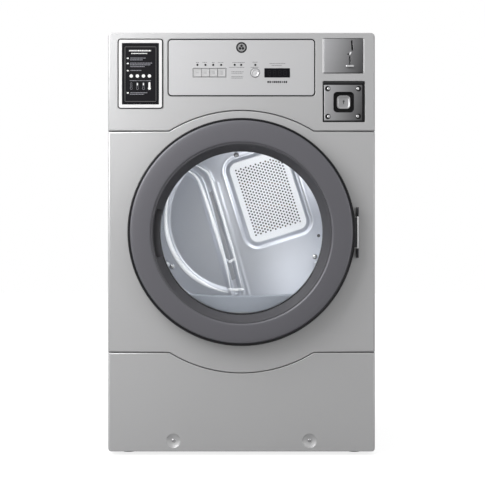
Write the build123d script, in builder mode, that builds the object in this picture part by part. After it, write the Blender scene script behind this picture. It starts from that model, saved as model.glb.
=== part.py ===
"""Front-load, coin-operated vented clothes dryer, 27 inches wide.

Units are millimetres. +Z is up and the door faces -Y. The origin is on the floor, at the
centre of the dryer's footprint. Every function below makes one piece, or one group of like
pieces, and writes it under its own name.
"""
from build123d import *
from math import cos, pi, radians, sin, sqrt
import os

os.makedirs("parts", exist_ok=True)

# Overall sizes
cabinet_width = 686
cabinet_height = 1076
cabinet_depth = 690
foot_height = 10
door_proud = 50
exhaust_stub = 25

# Sheet metal and clearances
sheet = 1.2
base_sheet = 2
duct_sheet = 0.8
seam_gap = 2
insert_gap = 1
moving_gap = 0.3
running_gap = 0.05
pan_depth = 22
pan_edge_radius = 5
top_corner_radius = 11
bottom_corner_radius = 8
flange = 15
base_flange = 30

# Front seams: flat at the sides, bowed round the door in the middle
control_panel_height = 253
lower_seam_height = 254.6
seam_bow = 53
seam_bow_half_width = 185.5

# Door
door_height = 564
door_ring_radius = 288
door_rim_radius = 292
door_ring_inner_radius = 230
door_bevel_radius = 224.5
window_radius = 208.5
glass_overlap = 5.5
glass_thickness = 5
bevel_depth = 28
door_back_gap = 5.5
liner_thickness = 8
plug_radius = 222
plug_wall = 14
plug_depth = 26
opening_radius = 234
throat_radius = 231
throat_wall = 2.8
gasket_inner_radius = 240
gasket_outer_radius = 262
gasket_gap = 0.5
grip_half_angle = 16
grip_undercut_radius = 246
grip_depth = 22

# Door hinge
hinge_offset = 296
hinge_from_door_face = 20.5
hinge_pin_radius = 3
hinge_barrel_radius = 6
hinge_ear_radius = 6
hinge_ear_height = 24
hinge_ear_spacing = 105
hinge_ear_drop = -1.5
hinge_flange_width = 26
hinge_flange_thickness = 2.5
strike_offset = 273
strike_radius = 5
strike_length = 20
strike_hole_radius = 8.5

# Drum
drum_height = 602
drum_radius = 318
drum_length = 524
drum_wall = 1.2
drum_front_lip = 50
drum_rear_lip = 24
baffle_height = 62
baffle_base = 74
baffle_count = 3
bulkhead_gap = 20
bulkhead_margin = 18
bulkhead_opening_radius = 216
lint_band_height = 404
lint_band_sag = 6
dish_margin = 38
dish_depth = 24
dish_slope = 8
dish_lead = 10
felt_margin = 6
felt_width = 14
roller_radius = 35
roller_width = 25
roller_angle = 35
roller_shaft_radius = 6

# Air inlet in the rear wall of the drum
grille_x = 81
grille_height = 680
grille_tilt = 17.4
grille_width = 179
grille_length = 253
grille_corner_radius = 25
grille_hole_radius = 2.2
grille_columns = 10
grille_rows = 22
grille_hole_pitch_x = 15.8
grille_hole_pitch_y = 9.9
heater_margin = 10
heater_rise = 85
heater_rod_radius = 4
heater_rod_count = 5

# Lint filter, blower and exhaust
lint_duct_half_width = 140
lint_duct_top = 356
lint_duct_depth = 25
filter_half_width = 130
filter_thickness = 18
filter_length = 160
motor_x = 90
motor_height = 140
motor_radius = 65
motor_length = 140
shaft_radius = 8
blower_radius = 88
blower_width = 52
blower_blades = 24
volute_radius = 104
volute_depth = 65
volute_inlet_radius = 58
exhaust_x = -60
exhaust_height = 82
exhaust_radius = 50.8
exhaust_step = 0.8
exhaust_bore_radius = 49
motor_pulley_radius = 11
idler_radius = 25
idler_x = 172
idler_height = 205
idler_arm_length = 90
belt_width = 12
belt_thickness = 3
belt_y = 14

# Console, with heights measured up from the upper seam
console_half_width = 188.5
console_low = 90.5
console_high = 235.7
console_corner_radius = 9
console_thickness = 6
key_size = 20.2
key_pitch = 20.8
key_centre_x = -82
key_centre_height = 150.2
key_thickness = 5
key_recess = 0.2
start_x = 35.2
start_height = 149.6
start_radius = 10.7
press_travel = 2
display_low_x = 58.1
display_high_x = 125.1
display_low = 137.3
display_high = 162.4

# Instruction card, with heights measured up from the upper seam
card_low_x = -316.5
card_high_x = -202.4
card_low = 58.9
card_high = 235.9
card_border = 9.5
card_corner_radius = 6

# Coin plate, with heights measured up from the upper seam
coin_low_x = 211.9
coin_high_x = 312.1
coin_low = 149.9
coin_high = 237.2
coin_plate_thickness = 4
coin_plate_proud = 1.5
coin_slot_x = 284
coin_slot_height = 220
coin_slot_width = 4
coin_slot_length = 26
lever_x = 278
lever_slot_width = 3.5
lever_low = 163
lever_high = 191.5

# Coin vault, with heights measured up from the upper seam
vault_low_x = 209.1
vault_high_x = 317
vault_low = 23.7
vault_high = 128.3
vault_border = 3.4
vault_plate_thickness = 4
vault_plate_proud = 1
coin_box_length = 120
coin_box_wall = 1.2
coin_box_inset = 12
lock_recess_size = 52
lock_recess_depth = 8
lock_knob_size = 35
lock_corner_radius = 9.5
lock_x = 262.5
lock_height = 74.5
lock_shaft_radius = 9

# Rear
power_entry_x = -230
power_entry_height = 930
power_entry_radius = 14
louvre_length = 70
louvre_height = 5
louvre_columns = 3
louvre_rows = 10
louvre_pitch_x = 95
louvre_pitch_z = 14
louvre_centre_height = 830

# Feet
foot_inset = 48
foot_pad_radius = 20
foot_pad_thickness = 8
foot_stud_radius = 6
foot_stud_length = 44

# Screws
service_screw_x = 175
service_screw_height = 27.5
service_dimple_radius = 17.3
service_dimple_depth = 3
screw_head_radius = 6
screw_head_height = 2.5
screw_shank_radius = 2

# Radii and places worked out from the sizes above
glass_radius = window_radius + glass_overlap
drum_front_lip_radius = drum_radius - drum_front_lip
drum_rear_lip_radius = drum_radius - drum_rear_lip
dish_radius = drum_radius - dish_margin
felt_outer_radius = drum_radius - felt_margin
felt_inner_radius = felt_outer_radius - felt_width
overall_depth = door_proud + cabinet_depth + exhaust_stub
front_y = -overall_depth / 2 + door_proud
back_y = front_y + cabinet_depth
pan_back_y = front_y + pan_depth
base_z = foot_height
top_z = base_z + cabinet_height
half_width = cabinet_width / 2
inner_half_width = half_width - sheet
upper_seam = top_z - control_panel_height
lower_seam = base_z + lower_seam_height
door_z = base_z + door_height
drum_z = base_z + drum_height
motor_z = base_z + motor_height
exhaust_z = base_z + exhaust_height
door_face_y = front_y - door_proud
door_back_y = front_y - door_back_gap
hinge_y = door_face_y + hinge_from_door_face
bulkhead_y = pan_back_y + lint_duct_depth + sheet
drum_front_y = bulkhead_y + sheet + bulkhead_gap
drum_back_y = drum_front_y + drum_length
rear_wall_y = drum_back_y + dish_lead
dish_face_y = rear_wall_y - dish_depth
plug_end_y = door_back_y + plug_depth
blower_front_y = bulkhead_y + 2
blower_back_y = blower_front_y + volute_depth
motor_front_y = blower_back_y + 26
motor_back_y = motor_front_y + motor_length


def front_plane(y):
    """A plane at depth y that faces the user, with X to the right and Z up."""
    return Plane.XZ.offset(-y)


def block(low, high, mode=Mode.ADD):
    """A box given by its lowest and highest corners."""
    with Locations(low):
        Box(
            high[0] - low[0],
            high[1] - low[1],
            high[2] - low[2],
            align=(Align.MIN, Align.MIN, Align.MIN),
            mode=mode,
        )


def rod(start, length, radius, direction, mode=Mode.ADD):
    """A round bar from a start point along a direction."""
    with Locations(Plane(origin=start, z_dir=direction)):
        Cylinder(radius, length, align=(Align.CENTER, Align.CENTER, Align.MIN), mode=mode)


def rod_y(x, z, radius, low_y, high_y, mode=Mode.ADD):
    """A round bar along Y, between two depths."""
    rod((x, low_y, z), high_y - low_y, radius, (0, 1, 0), mode)


def rod_z(x, y, radius, low_z, high_z, mode=Mode.ADD):
    """An upright round bar, between two heights."""
    rod((x, y, low_z), high_z - low_z, radius, (0, 0, 1), mode)


def ring_y(x, z, outer, inner, low_y, high_y, mode=Mode.ADD):
    """A flat ring or short tube along Y."""
    with BuildSketch(front_plane(high_y)) as profile:
        with Locations((x, z)):
            Circle(outer)
            Circle(inner, mode=Mode.SUBTRACT)
    extrude(profile.sketch, amount=high_y - low_y, mode=mode)


def slab(low_x, high_x, low_z, high_z, low_y, high_y, radius=0, mode=Mode.ADD):
    """A rectangular plate that faces the user, with rounded corners if a radius is given."""
    with BuildSketch(front_plane(high_y)) as profile:
        with Locations(((low_x + high_x) / 2, (low_z + high_z) / 2)):
            if radius > 0:
                RectangleRounded(high_x - low_x, high_z - low_z, radius)
            else:
                Rectangle(high_x - low_x, high_z - low_z)
    extrude(profile.sketch, amount=high_y - low_y, mode=mode)


def write(piece, name):
    """Label a finished piece and write its STEP file."""
    piece.part.label = name
    export_step(piece.part, f"parts/{name}.step")


# ---------------------------------------------------------------- cabinet

def make_base_pan():
    """Pressed tray that carries the motor, blower and feet."""
    low_y = pan_back_y + sheet
    high_y = back_y - 2 * sheet
    rim_z = base_z + base_flange
    with BuildPart() as base:
        block((-inner_half_width, low_y, base_z), (inner_half_width, high_y, rim_z))
        block(
            (-inner_half_width + base_sheet, low_y + base_sheet, base_z + base_sheet),
            (inner_half_width - base_sheet, high_y - base_sheet, rim_z),
            Mode.SUBTRACT,
        )
        for x, y in foot_places().values():
            rod_z(x, y, foot_stud_radius + moving_gap, base_z, rim_z, Mode.SUBTRACT)
    write(base, "base_pan")


def foot_places():
    """Where the four levelling feet stand, by name."""
    side = half_width - foot_inset
    front = pan_back_y + foot_inset
    rear = back_y - foot_inset
    return {
        "front_left_foot": (-side, front),
        "front_right_foot": (side, front),
        "rear_left_foot": (-side, rear),
        "rear_right_foot": (side, rear),
    }


def make_feet():
    """Four screw feet, each a pad on a threaded stud."""
    for name, (x, y) in foot_places().items():
        with BuildPart() as foot:
            rod_z(x, y, foot_pad_radius, 0, foot_pad_thickness)
            chamfer(foot.edges().group_by(Axis.Z)[-1], 2)
            rod_z(x, y, foot_stud_radius, 0, foot_pad_thickness + foot_stud_length)
        write(foot, name)


def make_side_panels():
    """Two folded side sheets, with a flange at the front and at the back."""
    with BuildPart() as right:
        with BuildSketch(Plane.XY.offset(base_z)):
            with Locations((half_width - sheet / 2, (pan_back_y + back_y) / 2)):
                Rectangle(sheet, back_y - pan_back_y)
            with Locations((half_width - flange / 2, pan_back_y + sheet / 2)):
                Rectangle(flange, sheet)
            with Locations((half_width - flange / 2, back_y - 1.5 * sheet)):
                Rectangle(flange, sheet)
        extrude(amount=cabinet_height - sheet)
    write(right, "right_side_panel")
    with BuildPart() as left:
        add(mirror(right.part, about=Plane.YZ))
    write(left, "left_side_panel")


def make_top_panel():
    """Folded lid, with its flanges inside the side panels."""
    low_y = pan_back_y + sheet
    high_y = back_y - 2 * sheet
    under_z = top_z - sheet
    with BuildPart() as top:
        block((-half_width, pan_back_y, under_z), (half_width, back_y, top_z))
        block((-inner_half_width, low_y, under_z - flange), (inner_half_width, high_y, under_z))
        block(
            (-inner_half_width + sheet, low_y + sheet, under_z - flange),
            (inner_half_width - sheet, high_y - sheet, under_z),
            Mode.SUBTRACT,
        )
        for side in (-1, 1):
            block(
                (side * half_width - flange, low_y - sheet, under_z - flange),
                (side * half_width + flange, low_y + sheet, under_z),
                Mode.SUBTRACT,
            )
    write(top, "top_panel")


def make_rear_panel():
    """Flat rear sheet with air louvres, the exhaust hole and the power entry hole."""
    with BuildPart() as rear:
        slab(-inner_half_width, inner_half_width, base_z, top_z - sheet, back_y - sheet, back_y)
        exhaust_hole = exhaust_radius + insert_gap / 2
        rod_y(exhaust_x, exhaust_z, exhaust_hole, back_y - sheet, back_y, Mode.SUBTRACT)
        rod_y(
            power_entry_x,
            base_z + power_entry_height,
            power_entry_radius,
            back_y - sheet,
            back_y,
            Mode.SUBTRACT,
        )
        with BuildSketch(front_plane(back_y)):
            with Locations((0, base_z + louvre_centre_height)):
                with GridLocations(louvre_pitch_x, louvre_pitch_z, louvre_columns, louvre_rows):
                    SlotOverall(louvre_length, louvre_height)
        extrude(amount=sheet, mode=Mode.SUBTRACT)
    write(rear, "rear_panel")


# ---------------------------------------------------------------- front panels

def bowed_line(seam, bow):
    """A seam from left to right: flat, bowed by a height in the middle, and flat again."""
    left = (-half_width, seam)
    bow_left = (-seam_bow_half_width, seam)
    bow_top = (0, seam + bow)
    bow_right = (seam_bow_half_width, seam)
    right = (half_width, seam)
    Line(left, bow_left)
    ThreePointArc(bow_left, bow_top, bow_right)
    Line(bow_right, right)


def straight_line(height):
    """A straight outer edge from left to right."""
    Line((-half_width, height), (half_width, height))


def folded_pan(panel, corner_edges, corner_radius):
    """Round a solid front panel and hollow it to sheet thickness, open at the back."""
    if corner_edges:
        fillet(corner_edges, corner_radius)
    fillet(panel.faces().sort_by(Axis.Y)[0].edges(), pan_edge_radius)
    offset(amount=-sheet, openings=panel.faces().sort_by(Axis.Y)[-1])


def window(low_x, high_x, low_z, high_z, radius):
    """A hole through a panel's face for a piece that is set into it."""
    slab(
        low_x - insert_gap,
        high_x + insert_gap,
        low_z - insert_gap,
        high_z + insert_gap,
        front_y,
        front_y + 2 * sheet,
        radius + insert_gap,
        Mode.SUBTRACT,
    )


def make_control_panel():
    """Upper front panel, with openings for the card, console, coin plate and vault."""
    seam = upper_seam + seam_gap / 2
    with BuildPart() as panel:
        with BuildSketch(front_plane(pan_back_y)):
            with BuildLine():
                bowed_line(seam, seam_bow)
                straight_line(top_z)
                Line((-half_width, seam), (-half_width, top_z))
                Line((half_width, seam), (half_width, top_z))
            make_face()
        extrude(amount=pan_depth)
        corners = panel.edges().filter_by(Axis.Y).group_by(Axis.Z)[-1]
        folded_pan(panel, corners, top_corner_radius)
        window(card_low_x, card_high_x, upper_seam + card_low, upper_seam + card_high, card_corner_radius)
        window(
            -console_half_width,
            console_half_width,
            upper_seam + console_low,
            upper_seam + console_high,
            console_corner_radius,
        )
        window(coin_low_x, coin_high_x, upper_seam + coin_low, upper_seam + coin_high, 1)
        window(vault_low_x, vault_high_x, upper_seam + vault_low, upper_seam + vault_high, 1)
    write(panel, "control_panel")


def make_door_panel():
    """Middle front panel with the round loading opening."""
    high = upper_seam - seam_gap / 2
    low = lower_seam + seam_gap / 2
    with BuildPart() as panel:
        with BuildSketch(front_plane(pan_back_y)):
            with BuildLine():
                bowed_line(high, seam_bow)
                bowed_line(low, -seam_bow)
                Line((-half_width, low), (-half_width, high))
                Line((half_width, low), (half_width, high))
            make_face()
        extrude(amount=pan_depth)
        folded_pan(panel, [], 0)
        rod_y(0, door_z, opening_radius, front_y, pan_back_y, Mode.SUBTRACT)
        rod_y(-strike_offset, door_z, strike_hole_radius, front_y, pan_back_y, Mode.SUBTRACT)
    write(panel, "door_panel")


def make_service_panel():
    """Lower front panel, held by two screws in round dimples."""
    seam = lower_seam - seam_gap / 2
    screw_z = base_z + service_screw_height
    cup_back_y = front_y + service_dimple_depth
    with BuildPart() as panel:
        with BuildSketch(front_plane(pan_back_y)):
            with BuildLine():
                bowed_line(seam, -seam_bow)
                straight_line(base_z)
                Line((-half_width, base_z), (-half_width, seam))
                Line((half_width, base_z), (half_width, seam))
            make_face()
        extrude(amount=pan_depth)
        corners = panel.edges().filter_by(Axis.Y).group_by(Axis.Z)[0]
        folded_pan(panel, corners, bottom_corner_radius)
        for x in (-service_screw_x, service_screw_x):
            rod_y(x, screw_z, service_dimple_radius + sheet, front_y, cup_back_y + sheet)
            with Locations(Plane(origin=(x, cup_back_y, screw_z), z_dir=(0, -1, 0))):
                Cone(
                    service_dimple_radius - service_dimple_depth,
                    service_dimple_radius,
                    service_dimple_depth,
                    align=(Align.CENTER, Align.CENTER, Align.MIN),
                    mode=Mode.SUBTRACT,
                )
            rod_y(x, screw_z, screw_shank_radius, cup_back_y, cup_back_y + sheet, Mode.SUBTRACT)
    write(panel, "service_panel")


# ---------------------------------------------------------------- console

def make_console_insert():
    """Moulded control fascia with openings for the keys, start button and display."""
    with BuildPart() as console:
        slab(
            -console_half_width,
            console_half_width,
            upper_seam + console_low,
            upper_seam + console_high,
            front_y + key_recess,
            front_y + key_recess + console_thickness,
            console_corner_radius,
        )
        strip = 2 * key_pitch + insert_gap / 2
        half_key = key_size / 2 + insert_gap / 2
        key_z = upper_seam + key_centre_height
        low_y = front_y
        high_y = front_y + key_recess + console_thickness
        slab(
            key_centre_x - strip,
            key_centre_x + strip,
            key_z - half_key,
            key_z + half_key,
            low_y,
            high_y,
            2,
            Mode.SUBTRACT,
        )
        start_hole = start_radius + insert_gap / 2
        rod_y(start_x, upper_seam + start_height, start_hole, low_y, high_y, Mode.SUBTRACT)
        slab(
            display_low_x,
            display_high_x,
            upper_seam + display_low,
            upper_seam + display_high,
            low_y,
            high_y,
            2,
            Mode.SUBTRACT,
        )
    write(console, "console_insert")
    with BuildPart() as display:
        slab(
            display_low_x + insert_gap / 2,
            display_high_x - insert_gap / 2,
            upper_seam + display_low + insert_gap / 2,
            upper_seam + display_high - insert_gap / 2,
            front_y + key_recess + insert_gap,
            front_y + key_recess + console_thickness,
            2,
        )
    write(display, "display_window")


def make_keys():
    """Four programme keys in a row and one round start button."""
    z = upper_seam + key_centre_height
    for number in range(4):
        x = key_centre_x + (number - 1.5) * key_pitch
        with BuildPart() as key:
            slab(
                x - key_size / 2,
                x + key_size / 2,
                z - key_size / 2,
                z + key_size / 2,
                front_y + key_recess,
                front_y + key_recess + key_thickness,
                1.5,
            )
            fillet(key.faces().sort_by(Axis.Y)[0].edges(), 0.6)
            rod_y(x, z, 3, front_y + key_thickness, board_front_y() - press_travel - moving_gap)
        write(key, f"programme_key_{number + 1}")
    start_z = upper_seam + start_height
    with BuildPart() as start:
        rod_y(start_x, start_z, start_radius, front_y - 1, front_y + key_thickness)
        fillet(start.faces().sort_by(Axis.Y)[0].edges(), 0.8)
        rod_y(start_x, start_z, 3, front_y, board_front_y() - press_travel - moving_gap)
    write(start, "start_button")


def board_front_y():
    """Front face of the control board."""
    return pan_back_y + 4


def make_control_board():
    """Circuit board with its relays, on four spacers behind the console."""
    low_z = upper_seam + console_low + 12
    high_z = upper_seam + console_high - 12
    front = board_front_y()
    with BuildPart() as board:
        slab(-150, 150, low_z, high_z, front, front + 2)
        for x in (-120, -70, 60, 110):
            slab(x - 12, x + 12, high_z - 40, high_z - 12, front + 2, front + 20)
        for x in (-140, 140):
            for z in (low_z + 8, high_z - 8):
                rod_y(x, z, 4, front_y + key_recess + console_thickness, front)
    write(board, "control_board")


def make_card_frame():
    """Metal frame with a printed instruction card behind its window."""
    low_z = upper_seam + card_low
    high_z = upper_seam + card_high
    with BuildPart() as frame:
        slab(
            card_low_x, card_high_x, low_z, high_z,
            front_y - 1.5, front_y + 4, card_corner_radius,
        )
        fillet(frame.faces().sort_by(Axis.Y)[0].edges(), 1)
        slab(
            card_low_x + card_border,
            card_high_x - card_border,
            low_z + card_border,
            high_z - card_border,
            front_y - 1.5,
            front_y - 0.5,
            2,
            Mode.SUBTRACT,
        )
    write(frame, "card_frame")


# ---------------------------------------------------------------- coin works

def make_coin_plate():
    """Steel plate with the coin slot and the slot of the coin return lever."""
    low_y = front_y - coin_plate_proud
    high_y = low_y + coin_plate_thickness
    with BuildPart() as plate:
        slab(coin_low_x, coin_high_x, upper_seam + coin_low, upper_seam + coin_high, low_y, high_y, 1)
        slab(
            coin_slot_x - coin_slot_width / 2,
            coin_slot_x + coin_slot_width / 2,
            upper_seam + coin_slot_height - coin_slot_length / 2,
            upper_seam + coin_slot_height + coin_slot_length / 2,
            low_y,
            high_y,
            1,
            Mode.SUBTRACT,
        )
        slab(
            lever_x - lever_slot_width / 2,
            lever_x + lever_slot_width / 2,
            upper_seam + lever_low,
            upper_seam + lever_high,
            low_y,
            high_y,
            1,
            Mode.SUBTRACT,
        )
    write(plate, "coin_plate")


def make_coin_return_lever():
    """Small tab on a flat stem that slides up in its slot to give coins back."""
    stem_half = lever_slot_width / 2 - moving_gap
    low = upper_seam + lever_low + moving_gap
    low_y = front_y - coin_plate_proud
    with BuildPart() as lever:
        block(
            (lever_x - 8, low_y - 9, low),
            (lever_x + 12, low_y - moving_gap, low + 5),
        )
        fillet(lever.edges().filter_by(Axis.Z), 2)
        block(
            (lever_x - stem_half, low_y - 1, low),
            (lever_x + stem_half, low_y + coin_plate_thickness + 8, low + 5),
        )
    write(lever, "coin_return_lever")


def make_coin_acceptor():
    """Case behind the coin plate that tests a coin and drops it into the vault."""
    front = front_y - coin_plate_proud + coin_plate_thickness
    back = front + 62
    low_z = upper_seam + coin_low + 4
    high_z = upper_seam + coin_high - 2
    wall = 2
    channel = coin_slot_width / 2 + 1.5
    with BuildPart() as acceptor:
        block((coin_low_x + 34, front, low_z), (coin_high_x - 4, back, high_z))
        block(
            (coin_slot_x - channel, front, low_z),
            (coin_slot_x + channel, back - wall, high_z - wall),
            Mode.SUBTRACT,
        )
        block(
            (lever_x - channel, front, low_z + 2),
            (lever_x + channel, front + 12, upper_seam + lever_high + 8),
            Mode.SUBTRACT,
        )
    write(acceptor, "coin_acceptor")


def make_vault():
    """Coin drawer: a steel front plate with a lock pocket, and an open-topped box."""
    low_x = vault_low_x + vault_border
    high_x = vault_high_x - vault_border - 3.5
    low_z = upper_seam + vault_low + vault_border
    high_z = upper_seam + vault_high - vault_border - 6
    low_y = front_y - vault_plate_proud
    plate_back = low_y + vault_plate_thickness
    lock_z = upper_seam + lock_height
    half_recess = lock_recess_size / 2
    with BuildPart() as plate:
        slab(low_x, high_x, low_z, high_z, low_y, plate_back, 1.5)
        slab(
            lock_x - half_recess - 2,
            lock_x + half_recess + 2,
            lock_z - half_recess - 2,
            lock_z + half_recess + 2,
            low_y,
            low_y + lock_recess_depth + 2,
            lock_corner_radius + 2,
        )
        slab(
            lock_x - half_recess,
            lock_x + half_recess,
            lock_z - half_recess,
            lock_z + half_recess,
            low_y,
            low_y + lock_recess_depth,
            lock_corner_radius,
            Mode.SUBTRACT,
        )
        rod_y(
            lock_x,
            lock_z,
            lock_shaft_radius + running_gap,
            low_y,
            low_y + lock_recess_depth + 2,
            Mode.SUBTRACT,
        )
    write(plate, "vault_plate")

    box_low = (low_x + coin_box_inset, plate_back + lock_recess_depth + 6, low_z + 10)
    box_high = (high_x - 4, plate_back + coin_box_length, high_z - 8)
    wall = coin_box_wall
    with BuildPart() as box:
        block(box_low, box_high)
        block(
            (box_low[0] + wall, box_low[1] + wall, box_low[2] + wall),
            (box_high[0] - wall, box_high[1] - wall, box_high[2]),
            Mode.SUBTRACT,
        )
        for x in (box_low[0], box_high[0] - wall):
            block(
                (x, plate_back, box_low[2]),
                (x + wall, box_low[1] + wall, box_low[2] + 20),
            )
    write(box, "coin_box")

    half_knob = lock_knob_size / 2
    with BuildPart() as knob:
        slab(
            lock_x - half_knob,
            lock_x + half_knob,
            lock_z - half_knob,
            lock_z + half_knob,
            low_y + 1,
            low_y + lock_recess_depth - moving_gap,
            lock_corner_radius,
        )
        fillet(knob.faces().sort_by(Axis.Y)[0].edges(), 1.5)
        rod_y(lock_x, lock_z, lock_shaft_radius, low_y + 4, low_y + lock_recess_depth + 4)
        slab(lock_x - 1, lock_x + 1, lock_z - 5, lock_z + 3, low_y, low_y + 4, 0, Mode.SUBTRACT)
    write(knob, "lock_knob")


# ---------------------------------------------------------------- door

def turned(points, axis_z):
    """A solid of revolution about a Y axis at a height, from (radius, depth) points."""
    with BuildSketch(Plane(origin=(0, 0, axis_z), x_dir=(1, 0, 0), z_dir=(0, 0, 1))) as profile:
        with BuildLine():
            Polyline(*points, close=True)
        make_face()
    revolve(profile.sketch, axis=Axis((0, 0, axis_z), (0, 1, 0)))


def make_door_ring():
    """Moulded door front: a flat ring, a fine groove and a band that slopes to the glass."""
    seat_y = door_face_y + bevel_depth
    with BuildPart() as ring:
        turned(
            [
                (window_radius, seat_y),
                (door_bevel_radius, door_face_y + 6),
                (door_bevel_radius + 1, door_face_y + 3),
                (door_ring_inner_radius, door_face_y + 3),
                (door_ring_inner_radius + 2, door_face_y + 0.6),
                ((door_ring_inner_radius + door_ring_radius) / 2, door_face_y),
                (door_ring_radius - 5, door_face_y + 1.5),
                (door_ring_radius - 1, door_face_y + 5),
                (door_ring_radius, door_face_y + 10),
                (door_ring_radius, door_back_y - liner_thickness),
                (glass_radius + 1, door_back_y - liner_thickness),
                (glass_radius + 1, seat_y + 2),
                (window_radius, seat_y + 2),
            ],
            door_z,
        )
        with BuildSketch(front_plane(door_face_y + bevel_depth - 1)):
            with BuildLine():
                grip_arc(window_radius + 1, grip_half_angle)
                grip_arc(door_bevel_radius, grip_half_angle)
                grip_side(window_radius + 1, door_bevel_radius, grip_half_angle)
                grip_side(window_radius + 1, door_bevel_radius, -grip_half_angle)
            make_face()
        extrude(amount=bevel_depth, mode=Mode.SUBTRACT)
        with BuildSketch(front_plane(door_face_y + bevel_depth - 1)):
            with BuildLine():
                grip_arc(window_radius + 3, grip_half_angle - 2)
                grip_arc(grip_undercut_radius, grip_half_angle - 2)
                grip_side(window_radius + 3, grip_undercut_radius, grip_half_angle - 2)
                grip_side(window_radius + 3, grip_undercut_radius, 2 - grip_half_angle)
            make_face()
        extrude(amount=grip_depth - 6, mode=Mode.SUBTRACT)
    write(ring, "door_ring")


def grip_point(radius, angle):
    """A point on the left of the door, at an angle above its middle."""
    return (-radius * cos(radians(angle)), door_z + radius * sin(radians(angle)))


def grip_arc(radius, half_angle):
    """An arc on the left of the door, about its centre."""
    ThreePointArc(
        grip_point(radius, -half_angle), grip_point(radius, 0), grip_point(radius, half_angle)
    )


def grip_side(inner, outer, angle):
    """A radial line on the left of the door."""
    Line(grip_point(inner, angle), grip_point(outer, angle))


def make_door_glass():
    """Flat round toughened glass."""
    front = door_face_y + bevel_depth + 2
    with BuildPart() as glass:
        rod_y(0, door_z, glass_radius, front, front + glass_thickness)
    write(glass, "door_glass")


def make_door_liner():
    """Black back frame of the door, with a collar that enters the opening and a strike pin."""
    low_y = door_back_y - liner_thickness
    with BuildPart() as liner:
        ring_y(0, door_z, door_rim_radius, plug_radius - plug_wall, low_y, door_back_y)
        ring_y(0, door_z, plug_radius, plug_radius - plug_wall, door_back_y, plug_end_y)
        strike_end_y = door_back_y + strike_length
        rod_y(-strike_offset, door_z, strike_radius, door_back_y, strike_end_y)
        strike_end = liner.edges().filter_by(GeomType.CIRCLE).filter_by(
            lambda edge: abs(edge.radius - strike_radius) < running_gap
        )
        fillet(strike_end.sort_by(Axis.Y)[-1], strike_radius / 2)
    write(liner, "door_liner")


def make_door_gasket():
    """Rubber ring on the back of the door that closes on the panel."""
    with BuildPart() as gasket:
        ring_y(
            0, door_z, gasket_outer_radius, gasket_inner_radius,
            door_back_y, front_y - gasket_gap,
        )
    write(gasket, "door_gasket")


def hinge_centre_z():
    """Middle height of the hinge."""
    return door_z + hinge_ear_drop


def make_hinge():
    """Two fixed ears with their pin, and the door's arm that turns on it."""
    middle = hinge_centre_z()
    half_span = hinge_ear_spacing / 2
    half_ear = hinge_ear_height / 2
    low_z = middle - half_span - half_ear
    high_z = middle + half_span + half_ear
    with BuildPart() as ears:
        for z in (middle - half_span, middle + half_span):
            rod_z(hinge_offset, hinge_y, hinge_ear_radius, z - half_ear, z + half_ear)
            block(
                (hinge_offset - hinge_ear_radius, hinge_y, z - half_ear),
                (hinge_offset + hinge_ear_radius, front_y, z + half_ear),
            )
            block(
                (
                    hinge_offset + hinge_ear_radius - hinge_flange_width,
                    front_y - hinge_flange_thickness,
                    z - half_ear,
                ),
                (hinge_offset + hinge_ear_radius, front_y, z + half_ear),
            )
        rod_z(hinge_offset, hinge_y, hinge_pin_radius, low_z, high_z, Mode.SUBTRACT)
    write(ears, "hinge_ears")
    with BuildPart() as pin:
        rod_z(hinge_offset, hinge_y, hinge_pin_radius, low_z, high_z)
    write(pin, "hinge_pin")
    arm_low = middle - half_span + half_ear + 2 * moving_gap
    arm_high = middle + half_span - half_ear - 2 * moving_gap
    ring_reach = sqrt(door_ring_radius**2 - (arm_high - door_z) ** 2)
    with BuildPart() as arm:
        rod_z(hinge_offset, hinge_y, hinge_barrel_radius, arm_low, arm_high)
        block(
            (ring_reach - 6, hinge_y - hinge_barrel_radius, arm_low),
            (hinge_offset, hinge_y + hinge_barrel_radius, arm_high),
        )
        rod_y(0, door_z, door_ring_radius, door_face_y, front_y, Mode.SUBTRACT)
        rod_y(
            0,
            door_z,
            door_rim_radius,
            door_back_y - liner_thickness,
            front_y,
            Mode.SUBTRACT,
        )
        rod_z(
            hinge_offset, hinge_y, hinge_pin_radius + running_gap, arm_low, arm_high,
            Mode.SUBTRACT,
        )
    write(arm, "hinge_arm")


def make_door_catch():
    """Catch with its door switch, behind the panel where the strike pin enters."""
    with BuildPart() as catch:
        slab(
            -strike_offset - 18,
            -strike_offset + 14,
            door_z - 22,
            door_z + 22,
            front_y + sheet,
            pan_back_y + 6,
            3,
        )
        rod_y(
            -strike_offset, door_z, strike_hole_radius, front_y + sheet, pan_back_y + 2,
            Mode.SUBTRACT,
        )
    write(catch, "door_catch")


# ---------------------------------------------------------------- drum and its housings

def make_throat():
    """Collar that leads from the door opening to the drum, with a slot for the filter."""
    slot_high_z = door_z - sqrt(throat_radius**2 - (filter_half_width + 3) ** 2) + 2
    with BuildPart() as throat:
        ring_y(
            0,
            door_z,
            throat_radius + throat_wall,
            throat_radius,
            front_y + sheet,
            bulkhead_y,
        )
        block(
            (-lint_duct_half_width - 2, pan_back_y, door_z - opening_radius - 10),
            (lint_duct_half_width + 2, bulkhead_y, slot_high_z),
            Mode.SUBTRACT,
        )
    write(throat, "throat_ring")


def bulkhead_outline():
    """Outline of both drum bulkheads: square below the axis and round above it."""
    low = drum_z - drum_radius - bulkhead_margin
    with Locations((0, (low + drum_z) / 2)):
        Rectangle(2 * inner_half_width, drum_z - low)
    with Locations((0, drum_z)):
        Circle(drum_radius + bulkhead_margin)


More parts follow.
